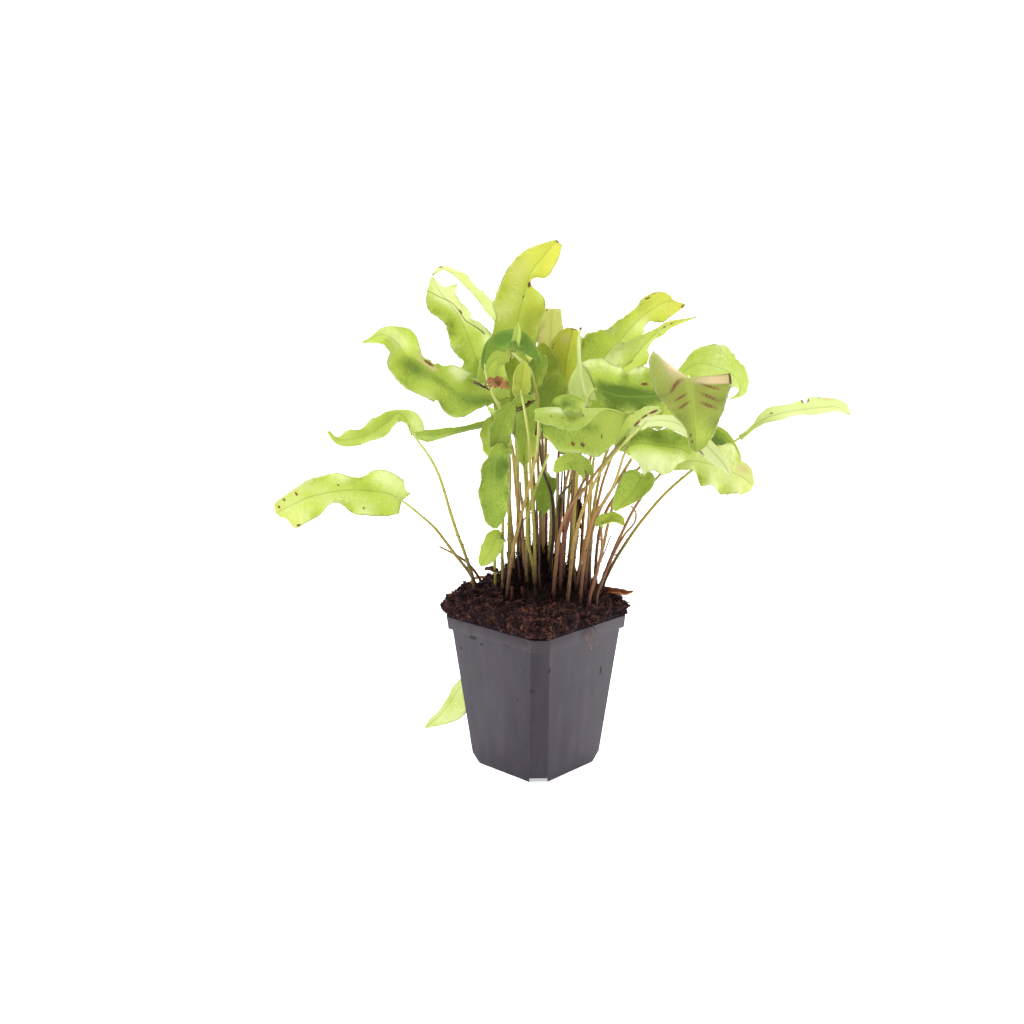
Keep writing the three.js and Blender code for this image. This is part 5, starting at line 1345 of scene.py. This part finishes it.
potSize = {
    "height": 99,
    "rimHalf": 45,  # half the width over the rim, millimetres
    "rimFoot": 44.3,
    "rimBand": 8,
    "topHalf": 42.4,  # half the width of the body just under the band
    "baseHalf": 33,
    "corner": 8.2,  # how much of each side the cut corner takes
    "cornerBulge": 0.25,
    "cornerSteps": 8,
    "sideCut": 5.2,  # how much more the two side corners take at the foot
    "sideCutHeight": 6,
    "wall": 1,
    "floor": 1.4,
    "notch": 3,  # the drain slot under each corner
    "notchDepth": 9,
    "softEdge": 0.35,
}

peatSize = {
    "sides": 190,
    # half width and height of the heap's rings above the rim
    "heap": [(44.3, .2), (45.4, 3), (46.2, 6.5), (44.3, 10.5), (39, 13.5), (28, 15.5), (12, 16.5), (1, 17)],
    "rings": 80,
    # x and y in the plant's frame, radius and height
    "mounds": [(-34, 6, 11, 6), (-14, 8, 16, 5), (20, 8, 18, 5), (-30, -14, 8, 2.5), (22, -34, 7, 2),
        (36, -6, 8, 2)],
    "clumps": 10.0,  # height of the clumps, millimetres
    "crumbs": 160000.0,  # to the square metre
    "crumb": 1.05,
    "fibres": 420000.0,
    "fibre": 6.0,
    "fibreThick": 0.03,  # as a share of the length
    "clods": 6000.0,
    "wisps": 5500.0,
}

peatFinish = {
    "dark": (0.0090, 0.0042, 0.0062, 1),
    "brown": (0.026, 0.0104, 0.0112, 1),
    "red": (0.074, 0.0245, 0.0225, 1),
    "straw": (0.17, 0.068, 0.042, 1),
}


def planRadius(angle, half):
    c, s = abs(math.cos(angle)), abs(math.sin(angle))
    return min(half / max(c, s), (2 * half - potSize["corner"]) / (c + s))


# a closed skin through rings of equal count, filled at both ends
def skin(name, rings):
    count = len(rings[0])
    points = [p for ring in rings for p in ring]
    faces = []
    for k in range(len(rings) - 1):
        for j in range(count):
            a, b = k * count + j, k * count + (j + 1) % count
            faces.append((a, b, b + count, a + count))
    for ring, flip in ((0, True), (len(rings) - 1, False)):
        middle = len(points)
        points.append(tuple(np.mean(rings[ring], axis=0)))
        for j in range(count):
            a, b = ring * count + j, ring * count + (j + 1) % count
            faces.append((middle, b, a) if flip else (middle, a, b))
    mesh = bpy.data.meshes.new(name)
    mesh.from_pydata([tuple(c * mm for c in p) for p in points], [], faces)
    return mesh


def peatMesh():
    p = potSize
    top = p["topHalf"] - p["wall"] - 0.4
    rows = [(p["baseHalf"] - p["wall"] - 0.2, p["floor"] + 0.3), (top, p["height"] - p["rimBand"]),
            (top, p["height"] + 0.2)]
    heap = [(half, p["height"] + rise) for half, rise in peatSize["heap"]]
    smooth, _ = smoothPath([(half, z, 0) for half, z in heap], 0, len(heap) - 1, peatSize["rings"])
    rows += [(half, z) for half, z, _ in smooth]
    rings = []
    for half, z in rows:
        angles = [2 * math.pi * j / peatSize["sides"] for j in range(peatSize["sides"])]
        reach = [planRadius(a, half) for a in angles]
        ring = np.array([(r * math.cos(a), r * math.sin(a), z) for r, a in zip(reach, angles)])
        free = min(max((z - p["height"] - 4) / 8, 0), 1)
        for x, y, wide, tall in peatSize["mounds"]:
            spot = turned(np.array([x, y, 0.0]))
            away = ((ring[:, :2] - spot[:2]) ** 2).sum(axis=1) / wide ** 2
            ring[:, 2] += free * tall * np.exp(-away)
        rings.append([tuple(point) for point in ring])
    return skin("peat", rings)


def makePeatMaterial(name, finish):
    material, g = newMaterial(name)
    place = objectPlace(g)
    grain, bright, _ = g.parts(fieldOf(g, "grainTint"))
    cloud = g.noise(place, 160, 4, 0.65)
    fine = g.noise(place, 900, 4, 0.7)
    wet = g.noise(place, 60, 2)
    crumbly = g.step(0.6 * cloud + 0.6 * fine + 0.35 * (grain - 0.5), 0.38, 0.72)
    colour = g.blend(crumbly, finish["dark"], finish["brown"])
    colour = g.blend(g.step(fine + 0.3 * grain + 0.5 * (wet - 0.5), 0.58, 0.95), colour, finish["red"])
    colour = g.blend(bright, colour, finish["straw"])
    # painted shade: darker towards the middle of the pot, under the fronds; the crown, which takes this
    # material too, is darkened the same way
    aside = g.vector("SUBTRACT", place, (0.007, 0.004, 0))
    away = g.vector("LENGTH", g.vector("MULTIPLY", aside, (1, 1, 0)))
    inner = 1 - g.step(away.out("Value") + 0.02 * (cloud - 0.5), 0.022, 0.042)
    colour = g.blend(0.7 * inner, colour, finish["dark"])
    bump = g.add("ShaderNodeBump", None, {"Strength": 0.7, "Distance": 0.0006, "Height": fine + 0.5 * cloud})
    endMaterial(g, g.add("ShaderNodeBsdfPrincipled", None, {
        "Base Color": colour, "Roughness": 0.95 - 0.2 * wet, "Specular IOR Level": 0.12, "Normal": bump}))
    return material


# Clumps pushed out of the heap above the rim, with crumbs and fibres strewn over it.
def makePeatTree():
    g, i = newTree("peatHeap", {
        "Heap": "Geometry", "Rim": "Float", "Clumps": "Float", "Crumbs": "Float", "Crumb": "Float",
        "Fibres": "Float", "Fibre": "Float", "Fibre Thickness": "Float", "Seed": "Int",
        "Material": "Material"})
    place = g.add("GeometryNodeInputPosition")
    normal = g.add("GeometryNodeInputNormal")
    height = g.parts(place)[2]
    above = g.step(height, i["Rim"], i["Rim"] + 3 * mm)
    lumps = 0.8 * (0.45 - g.cells(place, 120)) + 0.45 * (0.45 - g.cells(place, 280))
    lumps = lumps + 1.2 * (g.noise(place, 90, 4, 0.6) - 0.5)
    push = above * i["Clumps"] * lumps
    ground = g.add("GeometryNodeSetPosition", None, {
        "Geometry": i["Heap"], "Offset": g.vector("MULTIPLY", normal, g.xyz(push, push, push))})
    bare = above > 0.4
    tint = {"data_type": "FLOAT_VECTOR", "domain": "INSTANCE"}

    def strewn(density, seed, shape, low, high, turn, tone):
        spots = g.add("GeometryNodeDistributePointsOnFaces", None, {
            "Mesh": ground, "Selection": bare, "Density": density, "Seed": i["Seed"] + seed})
        size = g.add("FunctionNodeRandomValue", {"data_type": "FLOAT_VECTOR"}, {
            "Min": low, "Max": high, "Seed": i["Seed"] + seed})
        spin = g.add("FunctionNodeRandomValue", {"data_type": "FLOAT_VECTOR"}, {
            "Min": turn[0], "Max": turn[1], "Seed": i["Seed"] + seed + 9})
        spin = g.add("FunctionNodeEulerToRotation", None, [spin])
        many = g.add("GeometryNodeInstanceOnPoints", None, {
            "Points": spots, "Instance": shape, "Rotation": spin, "Scale": size})
        grain = g.add("FunctionNodeRandomValue", None, {"Seed": i["Seed"] + seed + 20})
        many = g.add("GeometryNodeStoreNamedAttribute", tint, {
            "Geometry": many, "Name": "grainTint", "Value": g.xyz(grain, tone * (grain ** 3), 0)})
        return g.add("GeometryNodeRealizeInstances", None, [many])

    half = math.pi
    lump = g.add("GeometryNodeMeshIcoSphere", None, {"Radius": i["Crumb"], "Subdivisions": 1})
    anyWay = ((0, 0, 0), (half, half, half))
    lying = ((0.9, -0.9, 0), (2.2, 0.9, 2 * half))
    crumbs = strewn(i["Crumbs"], 1, lump, (0.4, 0.3, 0.3), (1.9, 1.4, 1.2), anyWay, 0.35)
    clods = strewn(peatSize["clods"], 4, lump, (1.4, 1.0, 0.8), (3.4, 2.4, 1.8), anyWay, 0.2)
    crumbs = g.add("GeometryNodeJoinGeometry", None, {"Geometry": [crumbs, clods]})
    shake = g.vector("SUBTRACT", g.noise(place, 700, 2).out("Color"), (0.5, 0.5, 0.5))
    crumbs = g.add("GeometryNodeSetPosition", None, {
        "Geometry": crumbs, "Offset": g.vector("MULTIPLY", shake, (2.6 * mm, 2.6 * mm, 2.6 * mm))})
    bow = g.add("GeometryNodeCurveQuadraticBezier", None, {
        "Resolution": 4, "Start": (0, 0, -0.5), "Middle": (0.35, 0.1, 0), "End": (-0.05, 0.1, 0.5)})
    thin = i["Fibre Thickness"] * (1.1 - abs(2 * g.add("GeometryNodeSplineParameter") - 1))
    ring = g.add("GeometryNodeCurvePrimitiveCircle", None, {"Resolution": 3, "Radius": 1})
    fibre = g.add("GeometryNodeCurveToMesh", None, {
        "Curve": bow, "Profile Curve": ring, "Scale": thin, "Fill Caps": True})
    fibre = g.add("GeometryNodeTransform", None,
        {"Geometry": fibre, "Scale": g.xyz(i["Fibre"], i["Fibre"], i["Fibre"])})
    fibres = strewn(i["Fibres"], 2, fibre, (0.4, 0.4, 0.4), (1.3, 1.3, 1.3), lying, 1)
    wisps = strewn(peatSize["wisps"], 5, fibre, (1.2, 1.2, 1.2), (2.3, 2.3, 2.3), lying, 0.6)
    fibres = g.add("GeometryNodeJoinGeometry", None, {"Geometry": [fibres, wisps]})
    sway = g.vector("SUBTRACT", g.noise(place, 170, 2).out("Color"), (0.5, 0.5, 0.5))
    fibres = g.add("GeometryNodeSetPosition", None, {
        "Geometry": fibres, "Offset": g.vector("MULTIPLY", sway, (7 * mm, 7 * mm, 5 * mm))})
    return endTree(g, [ground, crumbs, fibres], i["Material"])


def makePeat():
    piece = grow("peat", makePeatTree(), peatMesh(), {
        "Rim": potSize["height"] * mm, "Clumps": peatSize["clumps"] * mm,
        "Crumbs": peatSize["crumbs"], "Crumb": peatSize["crumb"] * mm, "Fibres": peatSize["fibres"],
        "Fibre": peatSize["fibre"] * mm, "Fibre Thickness": peatSize["fibreThick"], "Seed": 3,
        "Material": makePeatMaterial("peatFibre", peatFinish)})
    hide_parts("soil")
    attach(piece, "root")
    return piece


peat = makePeat()
print("peat heaped,", len(peat.data.polygons), "faces")

crownSize = {
    "sides": 72,
    "middle": (8, -2),
    "peak": (0, 3),
    # height, half width and half depth
    "levels": [(97, 33, 27), (108, 38, 31), (114, 37, 30), (118, 32, 26), (124, 25, 21),
               (130, 17, 15), (137, 10, 9), (142, 5, 4.5)],
    "rings": 40,
    "leanFrom": 112,  # the height where the hump starts to lean to its peak
    "leanOver": 18,
    "rough": 7.5,
    "hairs": 260000.0,
    "hair": 6.0,
    "stubs": 2200.0,
    "stub": 11.0,
}

crownFinish = {
    "dark": (0.006, 0.0026, 0.0030, 1),
    "brown": (0.019, 0.0068, 0.0062, 1),
    "red": (0.055, 0.017, 0.011, 1),
    "straw": (0.10, 0.036, 0.020, 1),
}


def crownMesh():
    levels, _ = smoothPath(crownSize["levels"], 0, len(crownSize["levels"]) - 1, crownSize["rings"])
    rings = []
    for z, wide, deep in levels:
        rise = min(max((z - crownSize["leanFrom"]) / crownSize["leanOver"], 0), 1)
        rise = rise * rise * (3 - 2 * rise)
        x = crownSize["middle"][0] * (1 - rise) + crownSize["peak"][0] * rise
        y = crownSize["middle"][1] * (1 - rise) + crownSize["peak"][1] * rise
        angles = [2 * math.pi * j / crownSize["sides"] for j in range(crownSize["sides"])]
        ring = np.array([(x + wide * math.cos(a), y + deep * math.sin(a), z) for a in angles])
        rings.append([tuple(p) for p in turned(ring)])
    return skin("crown", rings)


# A rough hump with old stalk stubs and long hairs that point up and out of it.
def makeCrownTree():
    g, i = newTree("crownHair", {
        "Hump": "Geometry", "Rough": "Float", "Hairs": "Float", "Hair": "Float",
        "Stubs": "Float", "Stub": "Float", "Seed": "Int", "Material": "Material"})
    place = g.add("GeometryNodeInputPosition")
    normal = g.add("GeometryNodeInputNormal")
    push = i["Rough"] * (g.noise(place, 120, 4, 0.6) + 0.7 * (0.5 - g.cells(place, 180)) - 0.6)
    hump = g.add("GeometryNodeSetPosition", None, {
        "Geometry": i["Hump"], "Offset": g.vector("MULTIPLY", normal, g.xyz(push, push, push))})
    tint = {"data_type": "FLOAT_VECTOR", "domain": "INSTANCE"}
    shown = g.parts(place)[2] > 0.113

    def standing(density, seed, shape, upward, low, high):
        spots = g.add("GeometryNodeDistributePointsOnFaces", None, {
            "Mesh": hump, "Selection": shown, "Density": density, "Seed": i["Seed"] + seed})
        stray = g.add("FunctionNodeRandomValue", {"data_type": "FLOAT_VECTOR"}, {
            "Min": (-0.6, -0.6, -0.2), "Max": (0.6, 0.6, 0.6), "Seed": i["Seed"] + seed})
        lean = g.vector("ADD", g.vector("ADD", spots.out("Normal"), stray), (0, 0, upward))
        turn = g.add("FunctionNodeAlignRotationToVector", {"axis": "Z"}, {"Vector": lean})
        size = g.add("FunctionNodeRandomValue", None,
            {"Min": low, "Max": high, "Seed": i["Seed"] + seed + 5})
        many = g.add("GeometryNodeInstanceOnPoints", None, {
            "Points": spots, "Instance": shape, "Rotation": turn, "Scale": g.xyz(1, 1, size)})
        grain = g.add("FunctionNodeRandomValue", None, {"Seed": i["Seed"] + seed + 20})
        return g.add("GeometryNodeStoreNamedAttribute", tint, {
            "Geometry": many, "Name": "grainTint", "Value": g.xyz(grain, grain ** 4, 0)})

    hair = g.add("GeometryNodeMeshCone", None, {
        "Vertices": 3, "Radius Bottom": 0.38 * mm, "Depth": i["Hair"]})
    stub = g.add("GeometryNodeMeshCone", None, {
        "Vertices": 8, "Radius Top": 0.8 * mm, "Radius Bottom": 1.5 * mm, "Depth": i["Stub"]})
    hairs = standing(i["Hairs"], 1, hair, 0.7, 0.4, 1.4)
    stubs = standing(i["Stubs"], 2, stub, 2.2, 0.5, 1.3)
    return endTree(g, [hump, hairs, stubs], i["Material"])


def makeCrown():
    piece = grow("crownMass", makeCrownTree(), crownMesh(), {
        "Rough": crownSize["rough"] * mm, "Hairs": crownSize["hairs"], "Hair": crownSize["hair"] * mm,
        "Stubs": crownSize["stubs"], "Stub": crownSize["stub"] * mm, "Seed": 5,
        "Material": makePeatMaterial("crownHairs", crownFinish)})
    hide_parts("crown")
    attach(piece, "root")


makeCrown()
print("crown set")

potFinish = {
    "plastic": (0.0190, 0.0105, 0.0225, 1),
    "worn": (0.028, 0.020, 0.032, 1),
    "dull": (0.0125, 0.0067, 0.0152, 1),
    "dustAndRimLight": (0.075, 0.062, 0.064, 1),
    "mud": (0.006, 0.003, 0.003, 1),
    # dried drops and scuffs: place in millimetres, width and height
    "spots": [((-15.5, -42.2, 89), 2.6, 1.2), ((-8.4, -42, 86), 1.2, .8), ((13.9, -42.3, 90.4), 2.8, .8),
              ((-27.6, -41.2, 79.2), 1, .7), ((39.7, 18.6, 65), .9, 2.8), ((32, -39, 64), 1.2, 1),
              ((32.8, 5.8, 0), 2.4, 1.2), ((41, -32.6, 77.6), .7, 1.8), ((20, -39, 55), .8, .8)],
}


def potRing(half, z):
    p, ring = potSize, []
    for corner in range(4):
        cut = p["corner"]
        if corner % 2 == 0:
            cut += p["sideCut"] * min(max(1 - z / p["sideCutHeight"], 0), 1)
        c, s = round(math.cos(corner * math.pi / 2)), round(math.sin(corner * math.pi / 2))
        for k in range(p["cornerSteps"] + 1):
            part = k / p["cornerSteps"]
            out = p["cornerBulge"] * math.sin(math.pi * part) / math.sqrt(2)
            x = half - cut * part + out
            y = half - cut * (1 - part) + out
            ring.append((c * x - s * y, s * x + c * y, z))
    return ring


def makePotMaterial(finish):
    material, g = newMaterial("potPlastic")
    place = objectPlace(g)
    height = g.parts(place)[2]
    streak = g.noise(g.vector("MULTIPLY", place, (1, 1, 0.07)), 95, 2, 0.5)
    cloud = g.noise(place, 38, 3, 0.6)
    haze = g.noise(g.vector("MULTIPLY", place, (1, 1, 0.3)), 90, 3)
    fine = g.noise(place, 2600, 2)
    scratch = g.noise(g.vector("MULTIPLY", place, (0.5, 0.5, 1)), 240, 1).maths("SUBTRACT", 0.5)
    scratch = (1 - g.step(abs(scratch), 0.001, 0.006)) * g.step(g.noise(place, 55, 1), 0.58, 0.7)
    specks = (1 - g.step(g.cells(place, 210), 0.05, 0.1)) * g.step(g.noise(place, 30, 1), 0.56, 0.62)
    smear = g.step(height, 0.070, 0.099) * g.step(g.noise(place, 120, 4, 0.65), 0.6, 0.72)
    for spot, wide, tall in finish["spots"]:
        away = g.vector("SUBTRACT", place, tuple(v * mm for v in spot))
        away = g.vector("LENGTH", g.vector("MULTIPLY", away, (1 / wide / mm, 1 / wide / mm, 1 / tall / mm)))
        ragged = away.out("Value") + 1.2 * (g.noise(place, 900, 2) - 0.5)
        specks = specks.maths("MAXIMUM", 1 - g.step(ragged, 0.9, 1.5))
    # real dust from the haze noise, plus painted light that makes the whole rim band above 90.8 mm lighter;
    # the same pale colour also marks the scratches
    dustAndRimLight = g.step(haze, 0.5, 0.8) * 0.2 + 0.16 * g.step(height, 0.0908, 0.0912)
    colour = g.blend(g.step(streak, 0.4, 0.62), finish["dull"], finish["plastic"])
    colour = g.blend(0.55 * g.step(cloud, 0.45, 0.75), colour, finish["worn"])
    colour = g.blend(dustAndRimLight, colour, finish["dustAndRimLight"])
    colour = g.blend(0.35 * scratch, colour, finish["dustAndRimLight"])
    colour = g.blend((0.85 * specks).maths("MAXIMUM", 0.5 * smear), colour, finish["mud"])
    bump = g.add("ShaderNodeBump", None, {
        "Strength": 0.15, "Distance": 0.0003, "Height": fine + 1.5 * streak - scratch + specks})
    endMaterial(g, g.add("ShaderNodeBsdfPrincipled", None, {
        "Base Color": colour, "Roughness": 0.34 + 0.22 * haze + 0.25 * specks, "Normal": bump,
        "Specular IOR Level": 0.27}))
    return material


def makePot():
    p = potSize
    band = p["height"] - p["rimBand"]
    step = band + p["wall"]

    def bodyHalf(z):
        return p["baseHalf"] + (p["topHalf"] - p["baseHalf"]) * z / band

    profile = [
        (p["baseHalf"] - 3, 0.8), (p["baseHalf"] - 2.4, 0), (p["baseHalf"], 0),
        (bodyHalf(p["sideCutHeight"]), p["sideCutHeight"]), (p["topHalf"], band),
        (p["rimFoot"], band), (p["rimHalf"], p["height"] - 0.3), (p["rimHalf"] - 0.15, p["height"]),
        (p["rimHalf"] - p["wall"], p["height"]), (p["rimFoot"] - p["wall"], step),
        (p["topHalf"] - p["wall"], step), (bodyHalf(p["sideCutHeight"]) - p["wall"], p["sideCutHeight"]),
        (bodyHalf(p["floor"]) - p["wall"], p["floor"])]
    mesh = skin("potSkin", [potRing(half, z) for half, z in profile])
    rough = bpy.data.objects.new("potRough", mesh)
    bpy.context.scene.collection.objects.link(rough)
    slotAt = p["baseHalf"] * math.sqrt(2) - p["corner"] / math.sqrt(2)
    wide = p["corner"] * math.sqrt(2) / 2
    corners, faces = [], []
    for k in range(4):
        turn = (k + 0.5) * math.pi / 2
        first = len(corners)
        for x, y, z in [(x, y, z) for z in (-p["notch"], p["notch"]) for x, y in
                        ((-1, -1), (1, -1), (1, 1), (-1, 1))]:
            x, y = slotAt + x * p["notchDepth"], y * wide
            corners.append(tuple(v * mm for v in (
                x * math.cos(turn) - y * math.sin(turn), x * math.sin(turn) + y * math.cos(turn), z)))
        faces += [tuple(first + v for v in face) for face in (
            (3, 2, 1, 0), (4, 5, 6, 7), (0, 1, 5, 4), (1, 2, 6, 5), (2, 3, 7, 6), (3, 0, 4, 7))]
    cutMesh = bpy.data.meshes.new("slots")
    cutMesh.from_pydata(corners, [], faces)
    cutter = bpy.data.objects.new("slots", cutMesh)
    bpy.context.scene.collection.objects.link(cutter)
    cut = rough.modifiers.new("slots", "BOOLEAN")
    cut.object, cut.operation, cut.solver = cutter, "DIFFERENCE", "EXACT"
    soft = rough.modifiers.new("softEdges", "BEVEL")
    soft.width, soft.segments, soft.angle_limit = p["softEdge"] * mm, 2, math.radians(34)
    graph = bpy.context.evaluated_depsgraph_get()
    done = bpy.data.meshes.new_from_object(rough.evaluated_get(graph), depsgraph=graph)
    bpy.data.objects.remove(rough)
    bpy.data.objects.remove(cutter)
    done.materials.clear()
    done.materials.append(makePotMaterial(potFinish))
    done.shade_smooth()
    done.set_sharp_from_angle(angle=math.radians(32))
    piece = bpy.data.objects.new("nurseryPot", done)
    bpy.context.scene.collection.objects.link(piece)
    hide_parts("pot")
    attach(piece, "root")


makePot()
print("pot moulded")
